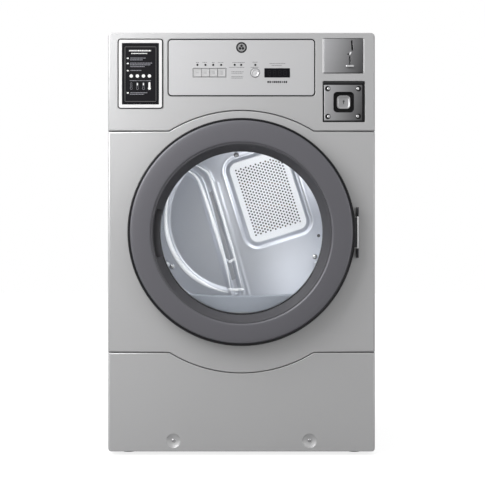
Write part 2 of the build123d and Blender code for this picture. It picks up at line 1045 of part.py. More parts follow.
def make_front_bulkhead():
    """Front drum support, with the loading opening and the air slots of the lint duct."""
    band_z = base_z + lint_band_height
    with BuildPart() as bulkhead:
        with BuildSketch(front_plane(bulkhead_y + sheet)):
            bulkhead_outline()
        extrude(amount=sheet)
        chord = sqrt(bulkhead_opening_radius**2 - (door_z - band_z) ** 2)
        with BuildSketch(front_plane(bulkhead_y + sheet)):
            with BuildLine():
                ThreePointArc(
                    (-chord, band_z),
                    (0, door_z + bulkhead_opening_radius),
                    (chord, band_z),
                )
                ThreePointArc((-chord, band_z), (0, band_z - lint_band_sag), (chord, band_z))
            make_face()
        extrude(amount=sheet, mode=Mode.SUBTRACT)
        with BuildSketch(front_plane(bulkhead_y + sheet)):
            with Locations((0, base_z + lint_duct_top - 8)):
                with GridLocations(20, 10, 9, 1):
                    SlotOverall(15, 9)
        extrude(amount=sheet, mode=Mode.SUBTRACT)
    write(bulkhead, "front_bulkhead")


def make_rear_bulkhead():
    """Rear drum wall: a dished sheet that enters the drum, with the hot-air opening."""
    with BuildPart() as bulkhead:
        with BuildSketch(front_plane(rear_wall_y + sheet)):
            bulkhead_outline()
        extrude(amount=sheet)
        rod_y(0, drum_z, dish_radius, rear_wall_y, rear_wall_y + sheet, Mode.SUBTRACT)
        dish = [
            (0, dish_face_y),
            (dish_radius - dish_slope, dish_face_y),
            (dish_radius + sheet, rear_wall_y),
            (dish_radius + sheet, rear_wall_y + sheet),
            (dish_radius, rear_wall_y + sheet),
            (dish_radius - dish_slope - sheet, dish_face_y + sheet),
            (0, dish_face_y + sheet),
        ]
        turned(dish, drum_z)
        with BuildSketch(front_plane(rear_wall_y)):
            grille_sketch(grille_width - 30, grille_length - 30, grille_corner_radius - 10)
        extrude(amount=dish_depth + sheet, mode=Mode.SUBTRACT)
    write(bulkhead, "rear_bulkhead")


def grille_sketch(width, length, radius):
    """A tilted rounded rectangle at the grille's place."""
    with Locations(Location((grille_x, base_z + grille_height, 0), (0, 0, grille_tilt))):
        RectangleRounded(width, length, radius)


def make_inlet_grille():
    """Perforated plate over the hot-air opening, with holes in a staggered lattice."""
    with BuildPart() as grille:
        with BuildSketch(front_plane(dish_face_y)):
            grille_sketch(grille_width, grille_length, grille_corner_radius)
            centre = Location((grille_x, base_z + grille_height, 0), (0, 0, grille_tilt))
            shift_x = grille_hole_pitch_x / 2
            with Locations(centre):
                with GridLocations(
                    grille_hole_pitch_x, grille_hole_pitch_y, grille_columns, grille_rows
                ):
                    Circle(grille_hole_radius, mode=Mode.SUBTRACT)
            with Locations(centre * Location((0, grille_hole_pitch_y / 2, 0))):
                with GridLocations(
                    grille_hole_pitch_x,
                    grille_hole_pitch_y,
                    grille_columns - 1,
                    grille_rows - 1,
                ):
                    Circle(grille_hole_radius, mode=Mode.SUBTRACT)
        extrude(amount=sheet)
    write(grille, "inlet_grille")


def make_heater():
    """Heater duct behind the rear bulkhead, and the rod elements in it."""
    half_x = grille_width / 2 + 12
    grille_z = base_z + grille_height
    half_z = grille_length / 2 + heater_margin - 12
    low_x = grille_x - half_x
    high_x = grille_x + half_x
    low_z = grille_z - half_z
    high_z = grille_z + half_z + heater_rise
    front = rear_wall_y + sheet
    back = back_y - sheet - 4
    wall = duct_sheet
    with BuildPart() as duct:
        block((low_x, front, low_z), (high_x, back, high_z))
        block(
            (low_x + wall, front + wall, low_z + wall),
            (high_x - wall, back - wall, high_z),
            Mode.SUBTRACT,
        )
        with BuildSketch(front_plane(front + 2 * wall)):
            grille_sketch(grille_width - 30, grille_length - 30, grille_corner_radius - 10)
        extrude(amount=2 * wall, mode=Mode.SUBTRACT)
    write(duct, "heater_duct")
    span = high_z - low_z - 60
    with BuildPart() as element:
        for number in range(heater_rod_count):
            z = low_z + 30 + span * number / (heater_rod_count - 1)
            rod(
                (low_x + wall, (front + back) / 2, z),
                high_x - low_x - 2 * wall,
                heater_rod_radius,
                (1, 0, 0),
            )
    write(element, "heater_element")


def make_drum():
    """Rolled steel drum shell with a lip at each end, and its three baffles."""
    inner = drum_radius - drum_wall
    shell = [
        (drum_front_lip_radius, drum_front_y),
        (drum_radius, drum_front_y),
        (drum_radius, drum_back_y),
        (drum_rear_lip_radius, drum_back_y),
        (drum_rear_lip_radius, drum_back_y - drum_wall),
        (inner, drum_back_y - drum_wall),
        (inner, drum_front_y + drum_wall),
        (drum_front_lip_radius, drum_front_y + drum_wall),
    ]
    with BuildPart() as drum:
        turned(shell, drum_z)
    write(drum, "drum_shell")

    baffle_end = drum_back_y - dish_depth - 6
    half_base = baffle_base / 2
    seat = sqrt(inner**2 - half_base**2) - moving_gap
    with BuildPart() as baffles:
        with BuildSketch(front_plane(baffle_end)):
            for number in range(baffle_count):
                angle = 90 + number * 360 / baffle_count
                turn = Location((0, drum_z, 0), (0, 0, angle))
                with BuildLine(Plane.XY * turn):
                    foot_low = (seat, -half_base)
                    foot_high = (seat, half_base)
                    crest = inner - baffle_height
                    Line(foot_low, (crest + 8, -9))
                    ThreePointArc((crest + 8, -9), (crest, 0), (crest + 8, 9))
                    Line((crest + 8, 9), foot_high)
                    ThreePointArc(foot_low, (inner, 0), foot_high)
                make_face()
        extrude(amount=baffle_end - drum_front_y - 2 * drum_wall)
    write(baffles, "drum_baffles")


def make_felts():
    """Felt rings between the drum's two ends and the bulkheads."""
    with BuildPart() as felts:
        ring_y(
            0, drum_z, felt_outer_radius, felt_inner_radius,
            bulkhead_y + sheet, drum_front_y - moving_gap,
        )
        ring_y(
            0, drum_z, felt_outer_radius, felt_inner_radius,
            drum_back_y + moving_gap, rear_wall_y,
        )
    write(felts, "drum_felts")


def roller_place(side):
    """Centre of a drum roller in X and Z."""
    reach = drum_radius + roller_radius + moving_gap
    angle = radians(roller_angle)
    return side * reach * sin(angle), drum_z - reach * cos(angle)


def make_rollers():
    """Two rubber-tyred rollers under the back of the drum, on fixed shafts."""
    high_y = rear_wall_y - 12
    low_y = high_y - roller_width
    for side, name in ((-1, "left_roller"), (1, "right_roller")):
        x, z = roller_place(side)
        with BuildPart() as roller:
            ring_y(x, z, roller_radius, roller_shaft_radius + running_gap, low_y, high_y)
            fillet(roller.edges().filter_by(GeomType.CIRCLE).sort_by(SortBy.RADIUS)[-2:], 2)
        write(roller, name)
    with BuildPart() as shafts:
        for side in (-1, 1):
            x, z = roller_place(side)
            rod_y(x, z, roller_shaft_radius, low_y - 4, rear_wall_y)
            ring_y(x, z, roller_shaft_radius + 5, roller_shaft_radius, low_y - 4, low_y - 1)
    write(shafts, "roller_shafts")


# ---------------------------------------------------------------- air and drive

def make_lint_duct():
    """Flat duct that carries the moist air down from the drum to the blower."""
    half = lint_duct_half_width
    low_z = base_z + base_flange + 2
    high_z = base_z + lint_duct_top
    front = pan_back_y + sheet
    back = bulkhead_y
    wall = duct_sheet
    with BuildPart() as duct:
        block((-half, front, low_z), (half, back, high_z))
        block(
            (-half + wall, front + wall, low_z + wall),
            (half - wall, back - wall, high_z),
            Mode.SUBTRACT,
        )
        rod_y(motor_x, motor_z, volute_inlet_radius, back - wall, back, Mode.SUBTRACT)
        with BuildSketch(front_plane(back)):
            with Locations((0, high_z - 8)):
                with GridLocations(20, 10, 9, 1):
                    SlotOverall(15, 9)
        extrude(amount=wall, mode=Mode.SUBTRACT)
    write(duct, "lint_duct")


def make_lint_filter():
    """Lift-out frame with a fine screen and a finger tab."""
    front = pan_back_y + sheet + duct_sheet + 2
    back = front + filter_thickness
    high_z = base_z + lint_duct_top - 14
    low_z = high_z - filter_length
    half = filter_half_width
    with BuildPart() as frame:
        block((-half, front, low_z), (half, back, high_z))
        block((-half + 8, front, low_z + 8), (half - 8, back - 2, high_z - 10), Mode.SUBTRACT)
        for number in range(1, 6):
            x = -half + 2 * half * number / 6
            block((x - 1.5, front, low_z + 4), (x + 1.5, back - 2, high_z - 6))
        block((-25, front, high_z), (25, front + 3, high_z + 8))
    write(frame, "lint_filter")


def make_blower():
    """Blower housing with its side outlet, and the bladed wheel in it."""
    wall = duct_sheet
    outlet_reach = exhaust_radius + 6
    shaft_hole = shaft_radius + 2
    with BuildPart() as housing:
        rod_y(motor_x, motor_z, volute_radius, blower_front_y, blower_back_y)
        block(
            (exhaust_x - outlet_reach, blower_front_y, exhaust_z - outlet_reach),
            (motor_x, blower_back_y, exhaust_z + outlet_reach),
        )
        rod_y(
            motor_x, motor_z, volute_radius - wall,
            blower_front_y + wall, blower_back_y - wall, Mode.SUBTRACT,
        )
        block(
            (
                exhaust_x - outlet_reach + wall,
                blower_front_y + wall,
                exhaust_z - outlet_reach + wall,
            ),
            (motor_x, blower_back_y - wall, exhaust_z + outlet_reach - wall),
            Mode.SUBTRACT,
        )
        rod_y(
            motor_x, motor_z, volute_inlet_radius,
            blower_front_y, blower_front_y + wall, Mode.SUBTRACT,
        )
        rod_y(motor_x, motor_z, shaft_hole, blower_back_y - wall, blower_back_y, Mode.SUBTRACT)
        rod_y(
            exhaust_x, exhaust_z, exhaust_bore_radius,
            blower_back_y - wall, blower_back_y, Mode.SUBTRACT,
        )
    write(housing, "blower_housing")

    wheel_back = blower_back_y - 6
    wheel_front = wheel_back - blower_width
    with BuildPart() as wheel:
        ring_y(motor_x, motor_z, blower_radius, shaft_radius, wheel_back - 2, wheel_back)
        ring_y(motor_x, motor_z, 18, shaft_radius, wheel_back - 24, wheel_back)
        ring_y(
            motor_x, motor_z, blower_radius, volute_inlet_radius + 4,
            wheel_front, wheel_front + 2,
        )
        with BuildSketch(front_plane(wheel_back)):
            with Locations((motor_x, motor_z)):
                with PolarLocations((blower_radius + volute_inlet_radius) / 2 + 4, blower_blades):
                    Rectangle(blower_radius - volute_inlet_radius - 10, 2, rotation=30)
        extrude(amount=blower_width)
    write(wheel, "blower_wheel")


def make_exhaust_duct():
    """Round pipe from the blower to the back, where the vent hose goes on."""
    with BuildPart() as duct:
        ring_y(
            exhaust_x,
            exhaust_z,
            exhaust_radius - exhaust_step,
            exhaust_bore_radius,
            blower_back_y,
            back_y,
        )
        ring_y(
            exhaust_x,
            exhaust_z,
            exhaust_radius,
            exhaust_bore_radius,
            back_y,
            back_y + exhaust_stub,
        )
    write(duct, "exhaust_duct")


def make_motor():
    """Motor case in its cradle, and the shaft with the belt pulley."""
    bore = shaft_radius + running_gap
    cradle_z = base_z + base_sheet
    with BuildPart() as case:
        rod_y(motor_x, motor_z, motor_radius, motor_front_y, motor_back_y)
        fillet(case.edges().filter_by(GeomType.CIRCLE), 8)
        for y in (motor_front_y + 20, motor_back_y - 32):
            block(
                (motor_x - 50, y, cradle_z),
                (motor_x + 50, y + 12, motor_z - 20),
            )
        rod_y(motor_x, motor_z, bore, motor_front_y, motor_back_y, Mode.SUBTRACT)
    write(case, "motor_case")
    pulley_low = belt_y - belt_width / 2 - 1
    pulley_high = belt_y + belt_width / 2 + 1
    with BuildPart() as shaft:
        rod_y(motor_x, motor_z, shaft_radius, blower_back_y - 30, pulley_high + 4)
        rod_y(motor_x, motor_z, motor_pulley_radius, pulley_low, pulley_high)
        for y in (pulley_low - 3, pulley_high):
            rod_y(motor_x, motor_z, motor_pulley_radius + 5, y, y + 3)
    write(shaft, "motor_shaft")


def idler_pivot():
    """Pivot of the idler arm in X and Z."""
    return idler_x + 20, base_z + idler_height - idler_arm_length


def make_idler():
    """Spring-loaded arm with the pulley that keeps the belt tight."""
    pivot_x, pivot_z = idler_pivot()
    pulley_z = base_z + idler_height
    low_y = belt_y - belt_width / 2 - 1
    high_y = belt_y + belt_width / 2 + 1
    arm_low = low_y - 9
    arm_high = arm_low + 4
    with BuildPart() as arm:
        with BuildSketch(front_plane(arm_high)):
            with Locations((pivot_x, pivot_z)):
                Circle(12)
            with Locations((idler_x, pulley_z)):
                Circle(12)
            make_hull()
            with Locations((pivot_x, pivot_z)):
                Circle(5 + running_gap, mode=Mode.SUBTRACT)
        extrude(amount=arm_high - arm_low)
        rod_y(idler_x, pulley_z, 5, arm_low, high_y + 3)
    write(arm, "idler_arm")
    with BuildPart() as pulley:
        ring_y(idler_x, pulley_z, idler_radius, 5 + running_gap, low_y, high_y)
        for y in (low_y - 2, high_y):
            ring_y(idler_x, pulley_z, idler_radius + 3, 5 + running_gap, y, y + 2)
    write(pulley, "idler_pulley")
    with BuildPart() as bracket:
        block(
            (pivot_x - 15, arm_low - 8, base_z + base_sheet),
            (pivot_x + 15, arm_low - 2, pivot_z + 15),
        )
        block(
            (pivot_x - 15, arm_low - 30, base_z + base_sheet),
            (pivot_x + 15, arm_low - 8, base_z + base_sheet + 4),
        )
        rod_y(pivot_x, pivot_z, 5, arm_low - 2, arm_high + 3)
    write(bracket, "idler_bracket")


def make_belt():
    """Flat ribbed belt round the drum, the motor pulley and the idler."""
    circles = (
        (0, drum_z, drum_radius),
        (motor_x, motor_z, motor_pulley_radius),
        (idler_x, base_z + idler_height, idler_radius),
    )
    with BuildPart() as belt:
        with BuildSketch(front_plane(belt_y + belt_width / 2)):
            belt_loop(circles, moving_gap + belt_thickness)
        extrude(amount=belt_width)
        with BuildSketch(front_plane(belt_y + belt_width / 2)):
            belt_loop(circles, moving_gap)
        extrude(amount=belt_width, mode=Mode.SUBTRACT)
    write(belt, "drive_belt")


def belt_loop(circles, extra):
    """The tight outline round a set of circles, each larger by a margin."""
    for x, z, radius in circles:
        with Locations((x, z)):
            Circle(radius + extra)
    make_hull()


# ---------------------------------------------------------------- electrics and screws

def make_terminal_block():
    """Mains terminal block on the inside of the rear panel, by the power entry."""
    z = base_z + power_entry_height
    low_y = back_y - sheet - 28
    with BuildPart() as terminals:
        slab(
            power_entry_x + 30, power_entry_x + 110, z - 20, z + 20,
            low_y, back_y - sheet,
        )
        for x in (power_entry_x + 45, power_entry_x + 70, power_entry_x + 95):
            rod_y(x, z, 5, low_y - 3, low_y)
    write(terminals, "terminal_block")


def make_panel_screws():
    """Screws of the service panel and of the rear panel."""
    screw_z = base_z + service_screw_height
    seat_y = front_y + service_dimple_depth
    with BuildPart() as screws:
        for x in (-service_screw_x, service_screw_x):
            rod_y(x, screw_z, screw_head_radius, seat_y - screw_head_height, seat_y)
            rod_y(x, screw_z, screw_shank_radius, seat_y, seat_y + 10)
            with Locations(Plane(origin=(x, seat_y - screw_head_height, screw_z), z_dir=(0, -1, 0))):
                Box(1.4, 7, 2, mode=Mode.SUBTRACT)
                Box(7, 1.4, 2, mode=Mode.SUBTRACT)
        step = (cabinet_height - 80) / 4
        for side in (-1, 1):
            for number in range(5):
                z = base_z + 40 + number * step
                x = side * (inner_half_width - 6)
                rod_y(x, z, 4, back_y, back_y + 2)
    write(screws, "panel_screws")


make_base_pan()
make_feet()
make_side_panels()
make_top_panel()
make_rear_panel()
make_control_panel()
make_door_panel()
make_service_panel()
make_console_insert()
make_keys()
make_control_board()
make_card_frame()
make_coin_plate()
make_coin_return_lever()
make_coin_acceptor()
make_vault()
make_door_ring()
make_door_glass()
make_door_liner()
make_door_gasket()
make_hinge()
make_door_catch()
make_throat()
make_front_bulkhead()
make_rear_bulkhead()
make_inlet_grille()
make_heater()
make_drum()
make_felts()
make_rollers()
make_lint_duct()
make_lint_filter()
make_blower()
make_exhaust_duct()
make_motor()
make_idler()
make_belt()
make_terminal_block()
make_panel_screws()
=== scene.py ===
import math
import random

import bmesh
import bpy
from mathutils import Matrix, Vector
from mathutils.geometry import tessellate_polygon


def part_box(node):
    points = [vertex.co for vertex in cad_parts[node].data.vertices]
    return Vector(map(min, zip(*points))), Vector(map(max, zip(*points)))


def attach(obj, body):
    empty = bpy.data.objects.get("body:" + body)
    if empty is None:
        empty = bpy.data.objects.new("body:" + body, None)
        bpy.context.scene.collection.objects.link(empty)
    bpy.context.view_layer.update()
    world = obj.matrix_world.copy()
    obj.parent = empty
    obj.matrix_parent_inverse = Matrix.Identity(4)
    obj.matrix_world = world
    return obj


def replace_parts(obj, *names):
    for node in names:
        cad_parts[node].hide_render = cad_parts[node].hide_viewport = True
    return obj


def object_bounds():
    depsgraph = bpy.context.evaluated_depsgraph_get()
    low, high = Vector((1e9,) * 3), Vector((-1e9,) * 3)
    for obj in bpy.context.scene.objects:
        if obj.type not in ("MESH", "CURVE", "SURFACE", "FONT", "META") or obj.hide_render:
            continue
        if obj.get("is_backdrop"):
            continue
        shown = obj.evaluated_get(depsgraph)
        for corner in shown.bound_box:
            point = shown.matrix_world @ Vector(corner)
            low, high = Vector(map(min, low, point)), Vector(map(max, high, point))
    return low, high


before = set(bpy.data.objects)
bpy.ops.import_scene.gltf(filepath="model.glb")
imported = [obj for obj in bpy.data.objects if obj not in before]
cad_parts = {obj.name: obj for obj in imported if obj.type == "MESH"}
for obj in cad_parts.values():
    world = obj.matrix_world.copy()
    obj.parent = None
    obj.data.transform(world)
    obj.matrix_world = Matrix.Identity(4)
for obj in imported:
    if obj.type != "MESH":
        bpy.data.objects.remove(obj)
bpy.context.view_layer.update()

# Studio. A pale floor and soft lamps, with a camera that faces the door from just
# under the middle of the cabinet's height.
panel_low, panel_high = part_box("door_panel")
front = panel_low.y
half_width = panel_high.x
mm = 0.001

scene = bpy.context.scene
scene.view_settings.view_transform = "Standard"
camera = bpy.data.objects.new("camera", bpy.data.cameras.new("camera"))
bpy.context.collection.objects.link(camera)
scene.camera = camera
camera.data.lens = 85
camera.data.sensor_width = 36
camera_side = 2.6 * mm
camera_distance = 2.942
camera_height = 0.547
camera.location = (camera_side, front - camera_distance, camera_height)
camera.rotation_euler = (math.radians(90), 0, 0)


def seen_or_through_glass(tree):
    """One for rays from the eye, straight or through glass, and nothing for the rest."""
    path = tree.nodes.new("ShaderNodeLightPath")
    steps = []
    for operation in ("MAXIMUM", "ADD", "LESS_THAN", "MULTIPLY"):
        steps.append(tree.nodes.new("ShaderNodeMath"))
        steps[-1].operation = operation
    either, bounces, unbounced, both = steps
    unbounced.inputs[1].default_value = 0.5
    for source, target in (
        (path.outputs["Is Camera Ray"], either.inputs[0]),
        (path.outputs["Is Transmission Ray"], either.inputs[1]),
        (path.outputs["Diffuse Depth"], bounces.inputs[0]),
        (path.outputs["Glossy Depth"], bounces.inputs[1]),
        (bounces.outputs[0], unbounced.inputs[0]),
        (either.outputs[0], both.inputs[0]),
        (unbounced.outputs[0], both.inputs[1]),
    ):
        tree.links.new(source, target)
    return both.outputs[0]


def studio_world():
    """Even white for the eye, and a soft fall-off to the right and below for reflections."""
    world = bpy.data.worlds.new("studio")
    scene.world = world
    world.use_nodes = True
    tree = world.node_tree
    background = tree.nodes["Background"]
    coordinate = tree.nodes.new("ShaderNodeTexCoord")
    split = tree.nodes.new("ShaderNodeSeparateXYZ")
    tree.links.new(coordinate.outputs["Generated"], split.inputs[0])
    product = tree.nodes.new("ShaderNodeMath")
    product.operation = "MULTIPLY"
    for factor, axis, limits in (
        (0, "X", {"From Min": -0.9, "From Max": 0.9, "To Min": 0.82, "To Max": 0.44}),
        (1, "Z", {"From Min": -0.35, "From Max": 0.75, "To Min": 0.62, "To Max": 1.10}),
    ):
        fall = tree.nodes.new("ShaderNodeMapRange")
        for label, value in limits.items():
            fall.inputs[label].default_value = value
        tree.links.new(split.outputs[axis], fall.inputs["Value"])
        tree.links.new(fall.outputs[0], product.inputs[factor])
    seen = tree.nodes.new("ShaderNodeMix")
    tree.links.new(seen_or_through_glass(tree), seen.inputs["Factor"])
    tree.links.new(product.outputs[0], seen.inputs["A"])
    seen.inputs["B"].default_value = 1.0
    tree.links.new(seen.outputs["Result"], background.inputs["Strength"])
    background.inputs["Color"].default_value = (1, 1, 1, 1)


def soft_lamp(name, place, target, size, power):
    """A square soft box that points at a target."""
    lamp = bpy.data.objects.new(name, bpy.data.lights.new(name, "AREA"))
    bpy.context.collection.objects.link(lamp)
    lamp.location = place
    lamp.rotation_euler = (Vector(target) - Vector(place)).to_track_quat("-Z", "Y").to_euler()
    lamp.data.size = size
    lamp.data.energy = power
    return lamp


studio_world()
soft_lamp("key_lamp", (-1.15, -1.45, 1.62), (-0.18, -0.33, 0.80), 1.4, 27.5)
soft_lamp("top_lamp", (0.0, 0.1, 2.8), (0, 0, 1.0), 1.8, 5)
for side, power in ((-1, 5), (1, 7)):
    target = (side * 0.34, -0.33, 0.6)
    strip = soft_lamp("edge_lamp", (side * 1.9, -2.5, 0.75), target, 0.10, power)
    strip.data.shape = "RECTANGLE"
    strip.data.size_y = 2.0

floor_mesh = bpy.data.meshes.new("floor")
floor_mesh.from_pydata([(-9, -9, 0), (9, -9, 0), (9, 9, 0), (-9, 9, 0)], [], [(0, 1, 2, 3)])
floor = bpy.data.objects.new("floor", floor_mesh)
bpy.context.collection.objects.link(floor)
floor_paint = bpy.data.materials.new("pale_floor")
floor_paint.use_nodes = True
floor_shader = floor_paint.node_tree.nodes["Principled BSDF"]
floor_shader.inputs["Base Color"].default_value = (0.36, 0.36, 0.36, 1)
floor_shader.inputs["Roughness"].default_value = 0.8
floor_shader.inputs["Specular IOR Level"].default_value = 0.1
floor_glow = floor_paint.node_tree.nodes.new("ShaderNodeMath")
floor_glow.operation = "MULTIPLY"
floor_glow.inputs[1].default_value = 0.82
floor_seen = seen_or_through_glass(floor_paint.node_tree)
floor_paint.node_tree.links.new(floor_seen, floor_glow.inputs[0])
floor_paint.node_tree.links.new(floor_glow.outputs[0], floor_shader.inputs["Emission Strength"])
floor_shader.inputs["Emission Color"].default_value = (1, 1, 1, 1)
floor_mesh.materials.append(floor_paint)
floor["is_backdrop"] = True


# Cabinet shell. Folded zinc-coated sheet: base tray, two sides, lid and back. The sides
# and lid have a satin silver-grey powder coat, and the back and base stay bare zinc.
def effect_group(name, **inputs):
    """An empty shader group that gives colour, roughness and normal, and its end nodes."""
    group = bpy.data.node_groups.new(name, "ShaderNodeTree")
    kinds = {1: "NodeSocketFloat", 3: "NodeSocketVector", 4: "NodeSocketColor"}
    for label, value in inputs.items():
        kind = kinds[len(value) if isinstance(value, tuple) else 1]
        socket = group.interface.new_socket(name=label, in_out="INPUT", socket_type=kind)
        socket.default_value = value
    for label, size in (("Color", 4), ("Roughness", 1), ("Normal", 3)):
        group.interface.new_socket(name=label, in_out="OUTPUT", socket_type=kinds[size])
    return group, group.nodes.new("NodeGroupInput"), group.nodes.new("NodeGroupOutput")


def math_node(tree, operation, first, second):
    """A two-input math node; each input is a socket or a number."""
    node = tree.nodes.new("ShaderNodeMath")
    node.operation = operation
    for socket, value in zip(node.inputs, (first, second)):
        if isinstance(value, (int, float)):
            socket.default_value = value
        else:
            tree.links.new(value, socket)
    return node.outputs[0]


def noise_node(tree, vector, scale, detail):
    """Fractal noise about 0.5."""
    node = tree.nodes.new("ShaderNodeTexNoise")
    node.inputs["Scale"].default_value = scale
    node.inputs["Detail"].default_value = detail
    tree.links.new(vector, node.inputs["Vector"])
    return node.outputs["Fac"]


def shaded(tree, colour, value):
    """A colour made lighter or darker by a value about 1."""
    node = tree.nodes.new("ShaderNodeHueSaturation")
    tree.links.new(colour, node.inputs["Color"])
    tree.links.new(value, node.inputs["Value"])
    return node.outputs["Color"]


def bumped(tree, height, strength, distance):
    """A normal raised by a height."""
    node = tree.nodes.new("ShaderNodeBump")
    node.inputs["Distance"].default_value = distance
    tree.links.new(height, node.inputs["Height"])
    tree.links.new(strength, node.inputs["Strength"])
    return node.outputs["Normal"]


def make_satin_coat():
    """Sprayed or moulded finish: cloudy tone, fine flecks and a slight orange peel."""
    group, given, result = effect_group(
        "satin_coat", Color=(0.5, 0.5, 0.5, 1), Roughness=0.4, Cloud=0.05, Fleck=0.05, Peel=0.2,
    )
    place = group.nodes.new("ShaderNodeTexCoord").outputs["Object"]
    cloud = math_node(group, "SUBTRACT", noise_node(group, place, 5, 3), 0.5)
    fleck = math_node(group, "SUBTRACT", noise_node(group, place, 1600, 1), 0.5)
    tone = math_node(group, "MULTIPLY", cloud, given.outputs["Cloud"])
    spark = math_node(group, "MULTIPLY", fleck, given.outputs["Fleck"])
    value = math_node(group, "ADD", math_node(group, "ADD", tone, spark), 1.0)
    group.links.new(shaded(group, given.outputs["Color"], value), result.inputs["Color"])
    rough = math_node(group, "ADD", given.outputs["Roughness"], tone)
    group.links.new(rough, result.inputs["Roughness"])
    peel = bumped(group, noise_node(group, place, 420, 2), given.outputs["Peel"], 0.0002)
    group.links.new(peel, result.inputs["Normal"])
    return group


def make_brushed_grain():
    """Brushed metal: fine streaks in one direction, faint clouds, and a painted light sweep that
    lightens and darkens the tone along one direction.
    """
    group, given, result = effect_group(
        "brushed_grain", Color=(0.6, 0.6, 0.6, 1), Roughness=0.3, Streak=0.15, Cloud=0.08,
        Grain=(8, 8, 900), Sweep=(0, 0, 0), Offset=0.0,
    )
    place = group.nodes.new("ShaderNodeTexCoord").outputs["Object"]
    stretch = group.nodes.new("ShaderNodeVectorMath")
    stretch.operation = "MULTIPLY"
    group.links.new(place, stretch.inputs[0])
    group.links.new(given.outputs["Grain"], stretch.inputs[1])
    lines = math_node(group, "SUBTRACT", noise_node(group, stretch.outputs[0], 1, 4), 0.5)
    cloud = math_node(group, "SUBTRACT", noise_node(group, place, 9, 3), 0.5)
    streak = math_node(group, "MULTIPLY", lines, given.outputs["Streak"])
    tone = math_node(group, "MULTIPLY", cloud, given.outputs["Cloud"])
    both = math_node(group, "ADD", streak, tone)
    # Painted light: the tone is lightened or darkened along one direction, standing in for light
    # falling off across the piece.
    slope = group.nodes.new("ShaderNodeVectorMath")
    slope.operation = "DOT_PRODUCT"
    group.links.new(place, slope.inputs[0])
    group.links.new(given.outputs["Sweep"], slope.inputs[1])
    painted_sweep = math_node(group, "ADD", slope.outputs["Value"], given.outputs["Offset"])
    value = math_node(group, "ADD", math_node(group, "ADD", both, painted_sweep), 1.0)
    group.links.new(shaded(group, given.outputs["Color"], value), result.inputs["Color"])
    rough = math_node(group, "ADD", given.outputs["Roughness"], both)
    group.links.new(rough, result.inputs["Roughness"])
    groove = bumped(group, lines, given.outputs["Streak"], 0.0002)
    group.links.new(groove, result.inputs["Normal"])
    return group


satin_coat = make_satin_coat()
brushed_grain = make_brushed_grain()


def finish(name, group, colour, roughness, metallic=0.0, coat=0.0, specular=0.5, **values):
    """A material with an effect group on a principled shader."""
    made = bpy.data.materials.new(name)
    made.use_nodes = True
    tree = made.node_tree
    shader = tree.nodes["Principled BSDF"]
    effect = tree.nodes.new("ShaderNodeGroup")
    effect.node_tree = group
    effect.inputs["Color"].default_value = (*colour, 1)
    effect.inputs["Roughness"].default_value = roughness
    for label, value in values.items():
        effect.inputs[label].default_value = value
    tree.links.new(effect.outputs["Color"], shader.inputs["Base Color"])
    tree.links.new(effect.outputs["Roughness"], shader.inputs["Roughness"])
    tree.links.new(effect.outputs["Normal"], shader.inputs["Normal"])
    shader.inputs["Metallic"].default_value = metallic
    shader.inputs["Coat Weight"].default_value = coat
    shader.inputs["Specular IOR Level"].default_value = specular
    shader.inputs["Coat Roughness"].default_value = 0.25
    return made


silver_paint = finish(
    "silver_powder_coat", satin_coat, (0.56, 0.56, 0.565), 0.42, 0.55, 0.15,
    Cloud=0.03, Fleck=0.10, Peel=0.12,
)
bare_zinc = finish(
    "bare_zinc_sheet", brushed_grain, (0.60, 0.61, 0.62), 0.42, 0.85,
    Streak=0.10, Cloud=0.35, Grain=(40, 40, 60),
)


def dress(material, *names):
    """Give CAD nodes their finish."""
    for name in names:
        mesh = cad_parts[name].data
        mesh.materials.clear()
        mesh.materials.append(material)


dress(silver_paint, "left_side_panel", "right_side_panel", "top_panel")
dress(bare_zinc, "rear_panel", "base_pan", "exhaust_duct")


# Front panels. Three pans pressed from thin sheet, with rounded edges and folded-back
# rims. Their seams bow round the door, and they clip and screw to the side panels.
sheet = 1.2 * mm
seam_edge = 1.8 * mm
side_edge = 5 * mm
bow = 53 * mm
bow_half_width = 185.5 * mm
pan_depth = panel_high.y - panel_low.y


def offset_loop(points, distance):
    """A closed outline moved inwards by one distance or one for each point."""
    moved = []
    count = len(points)
    distances = distance if isinstance(distance, list) else [distance] * count
    for index, (x, z) in enumerate(points):
        before_x, before_z = points[index - 1]
        after_x, after_z = points[(index + 1) % count]
        first = Vector((x - before_x, z - before_z)).normalized()
        second = Vector((after_x - x, after_z - z)).normalized()
        normal = Vector((-first.y - second.y, first.x + second.x)).normalized()
        share = max(0.35, normal.dot(Vector((-first.y, first.x))))
        reach = distances[index] / share
        moved.append((x + normal.x * reach, z + normal.y * reach))
    return moved


def edge_sizes(points, flat, upright):
    """An edge radius for each point: one for level edges, one for upright edges."""
    sizes = []
    for before, after in zip(points[-1:] + points, points[1:] + points[:1]):
        along = Vector((after[0] - before[0], after[1] - before[1]))
        sizes.append(flat + (upright - flat) * abs(along.normalized().y) ** 3)
    return sizes


def arc_points(centre_x, centre_z, radius, start, end, steps):
    """Points on an arc, with its angles in degrees."""
    points = []
    for step in range(steps + 1):
        angle = math.radians(start + (end - start) * step / steps)
        points.append((centre_x + radius * math.cos(angle), centre_z + radius * math.sin(angle)))
    return points


def rounded_outline(corners, steps=7):
    """A closed outline from (x, z, radius) corners, taken anticlockwise."""
    outline = []
    count = len(corners)
    for index, (x, z, radius) in enumerate(corners):
        corner = Vector((x, z))
        back = (Vector(corners[index - 1][:2]) - corner).normalized()
        ahead = (Vector(corners[(index + 1) % count][:2]) - corner).normalized()
        half = back.angle(ahead) / 2
        if radius <= 0 or half > math.radians(89.5):
            outline.append((x, z))
            continue
        reach = radius / math.tan(half)
        centre = corner + (back + ahead).normalized() * (radius / math.sin(half))
        start = corner + back * reach - centre
        end = corner + ahead * reach - centre
        sweep = start.angle_signed(end)
        for step in range(steps + 1):
            turned = start.copy()
            turned.rotate(Matrix.Rotation(-sweep * step / steps, 2))
            outline.append((centre.x + turned.x, centre.y + turned.y))
    return outline


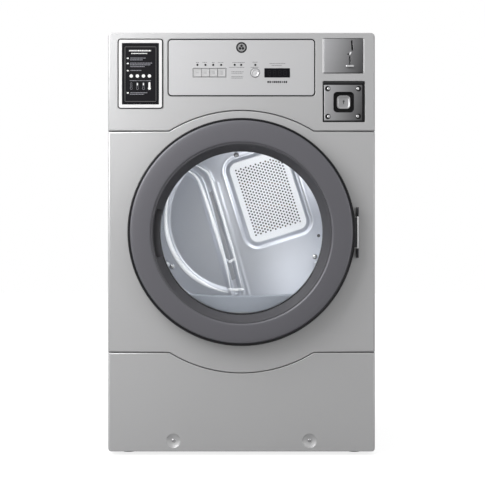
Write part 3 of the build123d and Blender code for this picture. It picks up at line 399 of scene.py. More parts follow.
def rounded_box(low_x, high_x, low_z, high_z, radius, steps=7):
    """A rounded rectangle, taken anticlockwise."""
    return rounded_outline(
        [
            (low_x, low_z, radius),
            (high_x, low_z, radius),
            (high_x, high_z, radius),
            (low_x, high_z, radius),
        ],
        steps,
    )


def box_outline(low, high, radius, steps=7, gap=0.0):
    """The rounded outline of a CAD box seen from the front, grown by a gap."""
    return rounded_box(low.x - gap, high.x + gap, low.z - gap, high.z + gap, radius, steps)


def circle(x, z, radius, steps=48):
    """A closed circle, taken anticlockwise."""
    return arc_points(x, z, radius, 0, 360 - 360 / steps, steps - 1)


def ring_of(bm, points, y):
    """Vertices for an outline at a depth."""
    return [bm.verts.new((x, y, z)) for x, z in points]


def band_between(bm, first, second):
    """Faces between two closed rings of vertices."""
    for index in range(len(first)):
        bm.faces.new((first[index - 1], first[index], second[index], second[index - 1]))


def band_stack(bm, rings):
    """Faces between each closed ring and the next."""
    for first, second in zip(rings, rings[1:]):
        band_between(bm, first, second)


def fill_between(bm, rings):
    """A flat face inside the first ring, with the other rings as holes."""
    loops = [[vert.co for vert in ring] for ring in rings]
    flat = [vert for ring in rings for vert in ring]
    for triangle in tessellate_polygon(loops):
        corners = [flat[index] for index in triangle]
        if len(set(corners)) == 3:
            bm.faces.new(corners)


def rolled_ring(bm, outline, edges, start, y, angle):
    """One ring of a rounded edge that starts a distance inside the outline."""
    insets = [start + edge * (1 - math.cos(angle)) for edge in edges]
    moved = offset_loop(outline, insets)
    return [
        bm.verts.new((x, y + edge * (1 - math.sin(angle)), z))
        for (x, z), edge in zip(moved, edges)
    ]


def pressed(bm, outline, holes, y, depth, edge, lip, wall=0.0, steps=6):
    """A plate with rounded front edges, solid, or hollow from behind if it has a wall."""
    shelf = 0.4 * mm
    edges = edge if isinstance(edge, list) else [edge] * len(outline)
    rings = [ring_of(bm, outline, y + depth)]
    for step in range(steps + 1):
        rings.append(rolled_ring(bm, outline, edges, 0, y, math.pi / 2 * step / steps))
    flat_start = [edge + shelf for edge in edges]
    rings.append(ring_of(bm, offset_loop(outline, flat_start), y))
    hole_back = y + (wall or depth)
    hole_rings = []
    for hole in holes:
        made = [ring_of(bm, offset_loop(hole, -lip - shelf), y)]
        for step in range(steps + 1):
            angle = math.pi / 2 * step / steps
            outset = lip * (1 - math.sin(angle))
            depth_here = y + lip * (1 - math.cos(angle))
            made.append(ring_of(bm, offset_loop(hole, -outset), depth_here))
        made.append(ring_of(bm, hole, hole_back))
        hole_rings.append(made)
    fill_between(bm, [rings[-1]] + [made[0] for made in hole_rings])
    if wall:
        inner = [edge - wall for edge in edges]
        back_rings = [ring_of(bm, offset_loop(outline, wall), y + depth)]
        for step in range(steps + 1):
            angle = math.pi / 2 * step / steps
            back_rings.append(rolled_ring(bm, outline, inner, wall, y + wall, angle))
        fill_between(bm, [back_rings[-1]] + [made[-1] for made in hole_rings])
        band_stack(bm, back_rings)
        band_between(bm, rings[0], back_rings[0])
    else:
        fill_between(bm, [rings[0]] + [made[-1] for made in hole_rings])
    for made in [rings] + hole_rings:
        band_stack(bm, made)


def place_piece(bm, name, material, body, sharp=38):
    """Turn a bmesh into a smooth piece that rides a body."""
    bmesh.ops.remove_doubles(bm, verts=bm.verts, dist=1e-6)
    bmesh.ops.recalc_face_normals(bm, faces=bm.faces)
    mesh = bpy.data.meshes.new(name)
    bm.to_mesh(mesh)
    bm.free()
    for polygon in mesh.polygons:
        polygon.use_smooth = True
    mesh.set_sharp_from_angle(angle=math.radians(sharp))
    mesh.materials.append(material)
    piece = bpy.data.objects.new(name, mesh)
    bpy.context.collection.objects.link(piece)
    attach(piece, body)
    return piece


def bowed_seam(height, rise, steps=72):
    """A seam from left to right, bowed up or down in the middle."""
    radius = (bow_half_width**2 + rise**2) / (2 * abs(rise))
    half = math.degrees(math.asin(bow_half_width / radius))
    if rise > 0:
        arc = arc_points(0, height + rise - radius, radius, 90 + half, 90 - half, steps)
    else:
        arc = arc_points(0, height + rise + radius, radius, 270 - half, 270 + half, steps)
    return [(-half_width, height)] + arc + [(half_width, height)]


control_low, control_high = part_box("control_panel")
service_low, service_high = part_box("service_panel")
insert_gap = 1 * mm


def hole_for(node, radius, gap=insert_gap):
    """The window that a set-in piece sits in."""
    low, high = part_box(node)
    return box_outline(low, high, radius + gap, gap=gap)


console_radius = 9 * mm
card_radius = 6 * mm
vault_frame = 3.4 * mm
vault_low, vault_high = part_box("vault_plate")
vault_opening = (
    vault_low.x - vault_frame, vault_high.x + 2 * vault_frame,
    vault_low.z - vault_frame, vault_high.z + 2.8 * vault_frame,
)
top_radius = 11 * mm
corner_x = half_width - top_radius
corner_z = control_high.z - top_radius
control_outline = bowed_seam(control_low.z, bow)
control_outline += arc_points(corner_x, corner_z, top_radius, 0, 90, 10)
control_outline += arc_points(-corner_x, corner_z, top_radius, 90, 180, 10)
bm = bmesh.new()
pressed(
    bm,
    control_outline,
    [
        hole_for("console_insert", console_radius),
        hole_for("card_frame", card_radius),
        hole_for("coin_plate", 1 * mm, 1.2 * mm),
        rounded_box(*vault_opening, 2 * mm),
    ],
    front, pan_depth, edge_sizes(control_outline, seam_edge, side_edge), 1.5 * mm, sheet,
)
control_pan = place_piece(bm, "control_pan", silver_paint, "cabinet")
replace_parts(control_pan, "control_panel")

door_low, door_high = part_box("door_glass")
door_x = (door_low.x + door_high.x) / 2
door_z = (door_low.z + door_high.z) / 2
opening_radius = 234 * mm
middle_outline = bowed_seam(panel_low.z + bow, -bow)
middle_outline += bowed_seam(panel_high.z - bow, bow)[::-1]
strike_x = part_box("door_catch")[0].x + 18 * mm
bm = bmesh.new()
pressed(
    bm,
    middle_outline,
    [circle(door_x, door_z, opening_radius, 160), circle(strike_x, door_z, 8.5 * mm, 32)],
    front, pan_depth, edge_sizes(middle_outline, seam_edge, side_edge), 1.0 * mm, sheet,
)
middle_pan = place_piece(bm, "door_pan", silver_paint, "cabinet")
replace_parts(middle_pan, "door_panel")

bottom_radius = 8 * mm
foot_corner_x = half_width - bottom_radius
foot_corner_z = service_low.z + bottom_radius
dimple_radius = 17.3 * mm
dimple_depth = 3 * mm
dimple_x = 175 * mm
dimple_z = service_low.z + 27.5 * mm
service_outline = arc_points(-foot_corner_x, foot_corner_z, bottom_radius, 180, 270, 8)
service_outline += arc_points(foot_corner_x, foot_corner_z, bottom_radius, 270, 360, 8)
service_outline += bowed_seam(service_high.z, -bow)[::-1]
bm = bmesh.new()
pressed(
    bm,
    service_outline,
    [circle(side * dimple_x, dimple_z, dimple_radius, 64) for side in (-1, 1)],
    front, pan_depth, edge_sizes(service_outline, seam_edge, side_edge), 1.5 * mm, sheet,
)


def dimple_cup(bm, x, z):
    """The pressed cup that a service screw sits in."""
    cup = [(dimple_radius, sheet)] + [
        (dimple_radius * part, 1.2 * mm + (dimple_depth + 0.8 * mm) * (1 - part**2))
        for part in (0.97, 0.88, 0.78, 0.66, 0.52, 0.38, 0.24, 0.12)
    ]
    rings = [ring_of(bm, circle(x, z, radius, 64), front + depth) for radius, depth in cup]
    band_stack(bm, rings)


for side in (-1, 1):
    dimple_cup(bm, side * dimple_x, dimple_z)
service_pan = place_piece(bm, "service_pan", silver_paint, "cabinet")
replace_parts(service_pan, "service_panel")


# Panel screws. Two steel screws in the dimples hold the service panel, and ten smaller
# ones hold the back panel. Each is a turned head with a pressed cross.
def screw_head(bm, x, z, y, radius, height):
    """A low domed head with a cross recess, facing the front."""
    profile = [(1.0, 0.0), (1.0, 0.45), (0.93, 0.72), (0.78, 0.90), (0.55, 0.98)]
    rings = [
        ring_of(bm, circle(x, z, radius * part, 32), y - height * rise) for part, rise in profile
    ]
    band_stack(bm, rings)
    arm, half = 0.40 * radius, 0.09 * radius
    cross = []
    for turn in range(4):
        out = Vector((math.cos(turn * math.pi / 2), math.sin(turn * math.pi / 2)))
        side = Vector((-out.y, out.x))
        cross += [out * u + side * v for u, v in ((arm, -half), (arm, half), (half, half))]
    outline = [(x + u, z + v) for u, v in cross]
    top = ring_of(bm, outline, y - height)
    bottom = ring_of(bm, outline, y - height * 0.35)
    fill_between(bm, [rings[-1], top])
    band_between(bm, top, bottom)
    fill_between(bm, [bottom])


dark_screw = finish(
    "dark_screw", satin_coat, (0.10, 0.10, 0.105), 0.32, 0.8, Cloud=0.1, Fleck=0.1, Peel=0.1,
)
bright_screw = finish(
    "bright_screw", brushed_grain, (0.62, 0.62, 0.63), 0.24, 1.0,
    Streak=0.12, Cloud=0.1, Grain=(60, 60, 1600),
)
screws_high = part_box("panel_screws")[1]
head_radius = 4
rear_pitch = 249
bm = bmesh.new()
for number in range(5):
    for side in (-1, 1):
        screw_head(
            bm, side * (screws_high.x - head_radius * mm),
            screws_high.z - (head_radius + rear_pitch * number) * mm,
            2 * mm - screws_high.y, head_radius * mm, 2 * mm,
        )
bmesh.ops.rotate(bm, verts=bm.verts, matrix=Matrix.Rotation(math.pi, 3, "Z"))
for side in (-1, 1):
    screw_head(bm, side * dimple_x, dimple_z, front + dimple_depth + 1.8 * mm, 4.4 * mm, 2.4 * mm)
service_screws = place_piece(bm, "service_screws", bright_screw, "cabinet")
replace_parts(service_screws, "panel_screws")


# Console insert. A moulded grey fascia, set into the control panel behind a dark gap.
# Its print is thin ink: window borders, captions, lamps and a round badge.
console_low, console_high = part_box("console_insert")
console_grey = finish(
    "console_fascia", satin_coat, (0.60, 0.60, 0.61), 0.40, 0.35, 0.2,
    Cloud=0.02, Fleck=0.06, Peel=0.08,
)
# Painted shade: a flat black for bands laid over the joints round the console and the card,
# standing in for the shade in the gaps.
gap_painted_shade = finish(
    "gap_painted_shade", satin_coat, (0.010, 0.010, 0.011), 0.6, specular=0.15,
    Cloud=0.1, Fleck=0.1, Peel=0.1,
)


def ink(name, colour):
    """A thin matt print."""
    return finish(name, satin_coat, colour, 0.5, specular=0.2, Cloud=0.1, Fleck=0.2, Peel=0.05)


ink_dark = ink("dark_ink", (0.020, 0.020, 0.022))
ink_grey = ink("grey_ink", (0.20, 0.20, 0.21))
ink_white = finish(
    "white_ink", satin_coat, (0.86, 0.86, 0.86), 0.5, Cloud=0.02, Fleck=0.04, Peel=0.05,
)


def flat_plate(bm, outline, y, thickness, holes=()):
    """A thin flat plate with square edges, for ink, lamps and gaskets."""
    front_rings = [ring_of(bm, outline, y - thickness)] + [
        ring_of(bm, hole, y - thickness) for hole in holes
    ]
    back_rings = [ring_of(bm, outline, y)] + [ring_of(bm, hole, y) for hole in holes]
    fill_between(bm, front_rings)
    fill_between(bm, back_rings)
    for first, second in zip(front_rings, back_rings):
        band_between(bm, first, second)


def bar(bm, x, z, width, height, y, thickness=0.10 * mm, radius=0.4 * mm):
    """A small printed bar about a centre."""
    radius = min(radius, 0.45 * min(width, height))
    outline = rounded_box(
        x - width / 2, x + width / 2, z - height / 2, z + height / 2, radius, 3
    )
    flat_plate(bm, outline, y, thickness)


key_nodes = [f"programme_key_{number}" for number in (1, 2, 3, 4)]
key_boxes = [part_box(name) for name in key_nodes]
start_low, start_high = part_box("start_button")
start_x = (start_low.x + start_high.x) / 2
start_z = (start_low.z + start_high.z) / 2
start_radius = (start_high.x - start_low.x) / 2
display_low, display_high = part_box("display_window")
key_gap = 0.55 * mm
console_front = console_low.y
console_holes = [box_outline(low, high, 1.2 * mm, 4, key_gap) for low, high in key_boxes]
console_holes.append(circle(start_x, start_z, start_radius + key_gap, 48))
bm = bmesh.new()
pressed(
    bm,
    box_outline(console_low, console_high, console_radius, 10),
    console_holes, console_front, console_high.y - console_low.y, 2.2 * mm, 0.3 * mm,
)
fascia = place_piece(bm, "console_fascia", console_grey, "cabinet")
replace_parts(fascia, "console_insert")


def gap_shade_band(name, low, high, radius, y, widths):
    """A black band of painted shade over the joint round a set-in piece, wider than the gap
    itself; widths run inwards.
    """
    left, right, under, over = widths
    outer = box_outline(low, high, radius + insert_gap, 10, insert_gap)
    inner = rounded_box(
        low.x + left, high.x - right, low.z + under, high.z - over,
        radius - min(widths), 10,
    )
    bm = bmesh.new()
    flat_plate(bm, outer, y, 0.35 * mm, [inner])
    return place_piece(bm, name, gap_painted_shade, "cabinet")


gap_shade_band(
    "console_gap_shade", console_low, console_high, console_radius, console_front,
    (1.4 * mm, 1.9 * mm, 2.1 * mm, 1.3 * mm),
)


def caption(bm, start, end, z, height, y, seed):
    """A line of generic text, drawn as short dashes."""
    chance = random.Random(seed)
    x = start
    while x < end - 0.8 * mm:
        width = min(end - x, (1.6 + 2.8 * chance.random()) * mm)
        bar(bm, x + width / 2, z, width, height, y, radius=0.2 * mm)
        x += width + 0.8 * mm


console_print = bmesh.new()
lamp_z = console_low.z + 79.9 * mm
for number, (start, end, z) in enumerate(
    [
        (-117.0, -109.0, 1009.6), (-100.4, -88.1, 1009.6), (-75.8, -69.1, 1009.6),
        (-60.4, -45.8, 1009.6), (-23.4, 8.0, 1009.6), (28.5, 42.4, 1010.2),
        (-31.3, 8.0, 997.0), (23.9, 43.6, 997.0),
        (-25.7, 5.4, 985.8), (-25.7, 2.0, 982.0), (-25.7, 5.4, 973.0), (-25.7, 3.0, 969.4),
        (71.9, 113.0, 1007.0), (77.6, 104.0, 1001.9),
    ]
):
    caption(
        console_print, start * mm, end * mm, z * mm, 1.4 * mm, console_front, number,
    )
place_piece(console_print, "console_captions", ink_grey, "cabinet")
bm = bmesh.new()
for number in range(10):
    width = (5.0, 3.2)[number in (2, 7)] * mm
    bar(
        bm, (68.5 + 5.2 * number) * mm, 959.4 * mm, width * 0.78, 5.4 * mm, console_front,
        radius=1.2 * mm,
    )
place_piece(bm, "console_wordmark_blank", ink_dark, "cabinet")


def circle_stack(bm, x, z, y, steps, sizes):
    """Circles from (radius, depth) pairs in millimetres, with faces between them."""
    rings = [
        ring_of(bm, circle(x, z, radius * mm, steps), y + depth * mm) for radius, depth in sizes
    ]
    band_stack(bm, rings)
    return rings


bm = bmesh.new()
lens_steps = ((2.7, 0.0), (2.7, -0.25), (2.4, -0.55), (1.6, -0.8), (0.5, -0.9))
for x in (-113.3, -92.7, -72.7, -52.4, -17.5, -0.8, 35.5):
    rings = circle_stack(bm, x * mm, lamp_z, console_front, 20, lens_steps)
    fill_between(bm, [rings[-1]])
    fill_between(bm, [rings[0]])
lamp_lens = finish(
    "lamp_lens", satin_coat, (0.008, 0.008, 0.009), 0.3, 0.0, 0.0, 0.15,
    Cloud=0.1, Fleck=0.1, Peel=0.05,
)
place_piece(bm, "console_lamps", lamp_lens, "cabinet")

strip_low = key_boxes[0][0]
strip_high = key_boxes[3][1]
bm = bmesh.new()
flat_plate(
    bm,
    box_outline(strip_low, strip_high, 2 * mm, 4, 2.2 * mm),
    console_front, 0.1 * mm,
    [box_outline(strip_low, strip_high, 1.2 * mm, 4, 1.2 * mm)],
)
flat_plate(
    bm, circle(start_x, start_z, start_radius + 2.0 * mm, 48), console_front, 0.1 * mm,
    [circle(start_x, start_z, start_radius + 1.0 * mm, 48)],
)
for (_, one_high), (next_low, _) in zip(key_boxes, key_boxes[1:]):
    bar(
        bm, (one_high.x + next_low.x) / 2, (strip_low.z + strip_high.z) / 2,
        0.9 * mm, strip_high.z - strip_low.z + 3 * mm, console_front,
    )
place_piece(bm, "key_borders", ink_grey, "cabinet")

badge_z = console_high.z - 20.7 * mm
bm = bmesh.new()
badge_steps = ((14.0, 0.0), (14.0, -0.1), (13.2, -0.22), (10.8, -0.22), (10.0, -0.05), (9.8, 0.0))
circle_stack(bm, 0, badge_z, console_front, 64, badge_steps)
place_piece(bm, "badge_ring", ink_dark, "cabinet")
bm = bmesh.new()
flat_plate(bm, circle(0, badge_z, 10.4 * mm, 48), console_front, 0.06 * mm)
badge_grey = finish(
    "badge_grey", satin_coat, (0.30, 0.30, 0.305), 0.4, 0.3, Cloud=0.05, Fleck=0.1, Peel=0.05,
)
place_piece(bm, "badge_disc", badge_grey, "cabinet")
bm = bmesh.new()
for turn in range(3):
    angle = 90 + 120 * turn
    x = 4.3 * mm * math.cos(math.radians(angle))
    z = badge_z + 4.3 * mm * math.sin(math.radians(angle))
    flat_plate(bm, circle(x, z, 3.3 * mm, 32), console_front, 0.12 * mm)
place_piece(bm, "badge_drops", ink_dark, "cabinet")


# Keys, start button and display. Square light grey programme keys in one strip, a round
# domed start button beside them, and a smoked display window over the circuit board.
key_grey = finish(
    "key_grey", satin_coat, (0.56, 0.56, 0.565), 0.40, 0.2, 0.2,
    Cloud=0.02, Fleck=0.05, Peel=0.06,
)
start_grey = finish(
    "start_grey", satin_coat, (0.66, 0.66, 0.67), 0.25, 0.2, 0.5,
    Cloud=0.02, Fleck=0.04, Peel=0.04,
)
mark_grey = finish(
    "mark_grey", satin_coat, (0.40, 0.40, 0.41), 0.5, Cloud=0.1, Fleck=0.1, Peel=0.05,
)
board_green = finish(
    "board_green", satin_coat, (0.02, 0.10, 0.05), 0.45, 0.0, 0.2, Cloud=0.3, Fleck=0.3, Peel=0.2,
)
display_smoke = finish(
    "display_smoke", satin_coat, (0.006, 0.006, 0.008), 0.15, 0.0, 0.0, 0.12,
    Cloud=0.2, Fleck=0.1, Peel=0.02,
)


def key_cap(name, low, high):
    """A square key with rounded edges and a faint dish."""
    outline = box_outline(low, high, 0.9 * mm, 5)
    bm = bmesh.new()
    edge = 1.0 * mm
    rings = [ring_of(bm, outline, high.y)]
    for step in range(6):
        angle = math.pi / 2 * step / 5
        inset = edge * (1 - math.cos(angle))
        depth = low.y + edge * (1 - math.sin(angle))
        rings.append(ring_of(bm, offset_loop(outline, inset), depth))
    rings.append(ring_of(bm, offset_loop(outline, 1.5 * mm), low.y))
    rings.append(ring_of(bm, offset_loop(outline, 3.5 * mm), low.y + 0.25 * mm))
    rings.append(ring_of(bm, offset_loop(outline, 7.0 * mm), low.y + 0.40 * mm))
    band_stack(bm, rings)
    fill_between(bm, [rings[-1]])
    fill_between(bm, [rings[0]])
    return place_piece(bm, f"{name}_cap", key_grey, name)


for name, (low, high) in zip(key_nodes, key_boxes):
    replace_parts(key_cap(name, low, high), name)
    bm = bmesh.new()
    middle = (low.x + high.x) / 2
    index = key_nodes.index(name)
    for row in range(index + 1):
        z = (low.z + high.z) / 2 + (row - index / 2) * 2.6 * mm
        bar(bm, middle, z, 7 * mm, 1.2 * mm, low.y + 0.42 * mm, 0.12 * mm)
    place_piece(bm, f"{name}_mark", mark_grey, name)

start_profile = [
    (1.0, 1.0), (1.0, 0.55), (0.98, 0.28), (0.93, 0.08), (0.86, 0.0), (0.80, 0.06),
    (0.72, 0.36), (0.62, 0.62), (0.5, 0.66), (0.3, 0.52), (0.1, 0.46),
]
bm = bmesh.new()
rings = []
for part, rise in start_profile:
    depth = start_high.y if rise == 1.0 else start_low.y + rise * 2.4 * mm
    rings.append(ring_of(bm, circle(start_x, start_z, start_radius * part, 48), depth))
band_stack(bm, rings)
fill_between(bm, [rings[-1]])
fill_between(bm, [rings[0]])
start_cap = place_piece(bm, "start_cap", start_grey, "start_button", 60)
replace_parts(start_cap, "start_button")

bm = bmesh.new()
pressed(
    bm, box_outline(display_low, display_high, 1.6 * mm, 4), [],
    console_front - 0.35 * mm, display_high.y - console_front, 0.3 * mm, 0.2 * mm,
)
smoked = place_piece(bm, "display_lens", display_smoke, "cabinet")
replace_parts(smoked, "display_window")
digits = bmesh.new()
segments = [(0, 1), (0, 0), (0, -1), (-0.5, 0.5), (0.5, 0.5), (-0.5, -0.5), (0.5, -0.5)]
segment_width = 1.1 * mm
digit_height = 6.4 * mm
digit_width = 7.0 * mm
for place in range(4):
    x = display_low.x + (13 + 13.4 * place) * mm
    z = (display_low.z + display_high.z) / 2
    for across, up in segments:
        wide = segment_width if across else digit_width * 0.8
        tall = digit_height * 0.8 if across else segment_width
        bar(
            digits, x + across * digit_width, z + up * digit_height, wide, tall,
            console_front - 0.35 * mm, 0.06 * mm,
        )
display_ghost = finish(
    "display_ghost", satin_coat, (0.016, 0.016, 0.018), 0.3, specular=0.1,
    Cloud=0.1, Fleck=0.1, Peel=0.02,
)
place_piece(digits, "display_segments", display_ghost, "cabinet")
dress(board_green, "control_board")


# Instruction card. A white moulded frame set into the control panel holds a black
# printed card behind it, with four setting discs and four thermometer signs.
card_low, card_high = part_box("card_frame")
card_border = 9.5 * mm
card_face = card_low.y + 1 * mm
frame_white = finish(
    "card_frame_white", satin_coat, (0.80, 0.80, 0.80), 0.38, 0.0, 0.1,
    Cloud=0.02, Fleck=0.03, Peel=0.06,
)
card_black = finish(
    "card_black", satin_coat, (0.009, 0.009, 0.011), 0.5, specular=0.1,
    Cloud=0.2, Fleck=0.3, Peel=0.05,
)
bm = bmesh.new()
card_window = box_outline(card_low, card_high, 1.5 * mm, 4, -card_border)
pressed(
    bm, box_outline(card_low, card_high, card_radius, 8), [card_window],
    card_low.y, card_high.y - card_low.y, 1.2 * mm, 0.6 * mm,
)
surround = place_piece(bm, "card_surround", frame_white, "cabinet")
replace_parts(surround, "card_frame")
bm = bmesh.new()
flat_plate(bm, offset_loop(card_window, -2 * mm), card_face + 0.6 * mm, 0.5 * mm)
place_piece(bm, "card_sheet", card_black, "cabinet")
gap_shade_band(
    "card_gap_shade", card_low, card_high, card_radius, card_low.y,
    (1.0 * mm, 1.8 * mm, 1.1 * mm, 1.0 * mm),
)


def card_x(across):
    """An x on the card, from a 0 to 1 share of the frame's width."""
    return card_low.x + across * (card_high.x - card_low.x)


def card_z(down):
    """A z on the card, from a 0 to 1 share down the frame's height."""
    return card_high.z - down * (card_high.z - card_low.z)


card_y = card_face + 0.1 * mm
grey_print = bmesh.new()
white_print = bmesh.new()
line_print = bmesh.new()
border = rounded_box(card_x(0.145), card_x(0.855), card_z(0.905), card_z(0.105), 2.5 * mm, 4)
flat_plate(line_print, border, card_y, 0.08 * mm, [offset_loop(border, 1.3 * mm)])
for number, (first, last, down) in enumerate(
    [
        (0.245, 0.735, 0.165), (0.29, 0.65, 0.205), (0.27, 0.62, 0.272), (0.27, 0.55, 0.298),
        (0.265, 0.76, 0.345), (0.265, 0.72, 0.370), (0.265, 0.60, 0.396), (0.275, 0.53, 0.452),
        (0.29, 0.72, 0.600), (0.275, 0.66, 0.775), (0.26, 0.58, 0.797),
    ]
):
    heading = number < 2
    caption(
        white_print if heading else grey_print, card_x(first), card_x(last), card_z(down),
        (3.4 if number == 0 else 2.2 if heading else 1.9) * mm, card_y, 60 + number,
    )
for down in (0.275, 0.35, 0.455, 0.777):
    bar(white_print, card_x(0.215), card_z(down), 5.2 * mm, 3.6 * mm, card_y, radius=1.6 * mm)
for number, across in enumerate((0.292, 0.430, 0.567, 0.700)):
    x = card_x(across)
    flat_plate(white_print, circle(x, card_z(0.532), 4.4 * mm, 32), card_y, 0.08 * mm)
    bar(grey_print, x, card_z(0.600), 8 * mm, 1.6 * mm, card_y)
    stem = 2.2 * mm
    outline = arc_points(x, card_z(0.712), 3.1 * mm, 130, 410, 20)
    outline += arc_points(x, card_z(0.635), stem * 0.9, 0, 180, 10)
    inner = offset_loop(outline, 0.7 * mm)
    flat_plate(grey_print, outline, card_y, 0.08 * mm, [inner])
    if number in (1, 2):
        bar(white_print, x, card_z(0.652), 3.0 * mm, 6.0 * mm, card_y, radius=1.4 * mm)
    if number == 3:
        flat_plate(white_print, offset_loop(outline, -0.6 * mm), card_y, 0.12 * mm)
card_grey = ink("card_grey_ink", (0.27, 0.27, 0.30))
card_line = ink("card_line_ink", (0.12, 0.12, 0.12))
place_piece(line_print, "card_line_print", card_line, "cabinet")
place_piece(grey_print, "card_grey_print", card_grey, "cabinet")
place_piece(white_print, "card_white_print", ink_white, "cabinet")


# Coin acceptor front. A brushed steel plate stands a little proud of the panel, with a
# coin slot and a return lever in its own slot.
coin_low, coin_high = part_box("coin_plate")


def steel_with_painted_falloff(name, x, z):
    """Brushed steel with painted light: painted bright at its upper left and painted darker to
    the lower right, as the light falls off across it.
    """
    across, up = -12.5, 3.0
    return finish(
        name, brushed_grain, (0.37, 0.37, 0.38), 0.34, 0.9,
        Streak=0.10, Cloud=0.05, Grain=(14, 14, 1400),
        Sweep=(across, 0, up), Offset=-across * x - up * z,
    )


# The acceptor plate's steel carries painted light: bright at the upper left, painted shade to the
# lower right.
coin_steel_painted_falloff = steel_with_painted_falloff("coin_plate_steel_painted_falloff", 0.262, 1.0265)
# Painted highlights: plain white for the glints on the plate's folded side edges and on the
# return lever's button.
white_painted_highlight = finish(
    "white_painted_highlight", satin_coat, (0.90, 0.90, 0.91), 0.35, 0.2, Cloud=0.02, Fleck=0.05, Peel=0.05,
)
# Bright steel for the lever tab and vault screws, and a painted highlight on the lock knob's rim.
bright_steel_and_highlight = finish(
    "bright_steel_and_painted_highlight", brushed_grain, (0.86, 0.86, 0.87), 0.22, 0.9,
    Streak=0.06, Cloud=0.04, Grain=(900, 900, 20),
)
slot_dark = finish(
    "slot_dark", satin_coat, (0.010, 0.010, 0.011), 0.5, Cloud=0.1, Fleck=0.1, Peel=0.1,
)


def slanted(x, z, width, height, lean):
    """A rounded slot that leans a little to one side."""
    outline = rounded_box(-width / 2, width / 2, -height / 2, height / 2, width * 0.42, 5)
    turn = Matrix.Rotation(math.radians(lean), 2)
    return [(x + (turn @ Vector(point)).x, z + (turn @ Vector(point)).y) for point in outline]


coin_slot = slanted(284 * mm, 1053 * mm, 4 * mm, 26 * mm, 3)
lever_slot = rounded_box(275.9 * mm, 280.3 * mm, 996 * mm, 1025 * mm, 1.4 * mm, 4)
bm = bmesh.new()
pressed(
    bm, box_outline(coin_low, coin_high, 1.4 * mm, 4), [coin_slot, lever_slot],
    coin_low.y, coin_high.y - coin_low.y, 0.7 * mm, 0.5 * mm,
)
acceptor = place_piece(bm, "acceptor_plate", coin_steel_painted_falloff, "cabinet")
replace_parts(acceptor, "coin_plate")

# Painted highlights: white bars beside the plate stand for the glints on its folded edges, and a
# small white slanted spot for the glint on the lever's button.
bm = bmesh.new()
for x in (coin_low.x - 2.2 * mm, coin_high.x + 2.2 * mm):
    bar(bm, x, (coin_low.z + coin_high.z) / 2, 2.6 * mm, 86 * mm, front + 0.02 * mm, 0.3 * mm)
flat_plate(bm, slanted(279.6 * mm, 1033 * mm, 3.4 * mm, 8.0 * mm, -20), coin_low.y, 0.6 * mm)
place_piece(bm, "acceptor_painted_highlights", white_painted_highlight, "cabinet")
bm = bmesh.new()
pointer = [(270.2, 1030.6), (275.8, 1027.8), (275.8, 1033.4)]
flat_plate(bm, [(x * mm, z * mm) for x, z in pointer], coin_low.y, 0.12 * mm)
place_piece(bm, "acceptor_pointer", slot_dark, "cabinet")

lever_low, lever_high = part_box("coin_return_lever")
bm = bmesh.new()
tab_z = 999 * mm
pressed(
    bm, rounded_box(268 * mm, 288 * mm, tab_z - 2.6 * mm, tab_z + 2.4 * mm, 1.6 * mm, 5),
    [], lever_low.y, coin_low.y - 0.4 * mm - lever_low.y, 1.2 * mm, 0.5 * mm,
)
place_piece(bm, "lever_tab", bright_steel_and_highlight, "coin_return_lever")
bm = bmesh.new()
stem = rounded_box(276.9 * mm, 279.1 * mm, 994.2 * mm + 2.4 * mm, 1001 * mm, 0.5 * mm, 3)
flat_plate(bm, stem, lever_high.y, lever_high.y - lever_low.y - 2 * mm)
lever_stem = place_piece(bm, "lever_stem", dark_screw, "coin_return_lever")
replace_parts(lever_stem, "coin_return_lever")


# Coin vault. A steel drawer front in a black moulded frame. A square lock knob turns in
# a black dished pocket, and four bright screws hold the front. A black ring round each
# screw is painted shade for its recess, and a bright band on the knob's rim is a painted
# highlight.
vault_front = vault_low.y
knob_low, knob_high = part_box("lock_knob")
pocket_x = (knob_low.x + knob_high.x) / 2
pocket_z = (knob_low.z + knob_high.z) / 2
pocket_half = 26 * mm
pocket_radius = 9.5 * mm
# Black moulding for the vault frame and lock pocket, and painted shade for the rings round the
# vault screws.
frame_black_and_painted_shade = finish(
    "frame_black_and_painted_shade", satin_coat, (0.010, 0.010, 0.011), 0.4, 0.0, 0.0, 0.2,
    Cloud=0.1, Fleck=0.1, Peel=0.1,
)
# The drawer front's steel carries painted light: bright at the upper left, painted shade to the
# lower right.
vault_steel_painted_falloff = steel_with_painted_falloff("vault_plate_steel_painted_falloff", 0.262, 0.906)
frame_outer = offset_loop(rounded_box(*vault_opening, 2 * mm), 0.3 * mm)
frame_inner = box_outline(vault_low, vault_high, 1.2 * mm, 7, 0.8 * mm)
bm = bmesh.new()
pressed(bm, frame_outer, [frame_inner], front - 0.9 * mm, 10 * mm, 0.9 * mm, 0.6 * mm)
place_piece(bm, "vault_frame", frame_black_and_painted_shade, "cabinet")
bm = bmesh.new()
rail_z = (vault_high.z + vault_opening[3]) / 2 + 0.6 * mm
bar(
    bm, (vault_low.x + vault_high.x) / 2, rail_z, vault_high.x - vault_low.x + 4 * mm,
    1.1 * mm, front - 0.9 * mm, 0.25 * mm,
)
place_piece(bm, "vault_rail", dark_screw, "cabinet")

pocket = rounded_box(
    pocket_x - pocket_half, pocket_x + pocket_half,
    pocket_z - pocket_half, pocket_z + pocket_half, pocket_radius, 8,
)
bm = bmesh.new()
pressed(
    bm, box_outline(vault_low, vault_high, 1.2 * mm, 4), [pocket],
    vault_front, vault_high.y - vault_front, 0.8 * mm, 0.7 * mm,
)
vault_cover = place_piece(bm, "vault_cover", vault_steel_painted_falloff, "coin_drawer")
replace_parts(vault_cover, "vault_plate")


def inset_stack(bm, outline, y, steps):
    """Closed rings from (inset, depth) pairs in millimetres, with faces between them."""
    rings = [
        ring_of(bm, offset_loop(outline, inset * mm), y + depth * mm) for inset, depth in steps
    ]
    band_stack(bm, rings)
    return rings


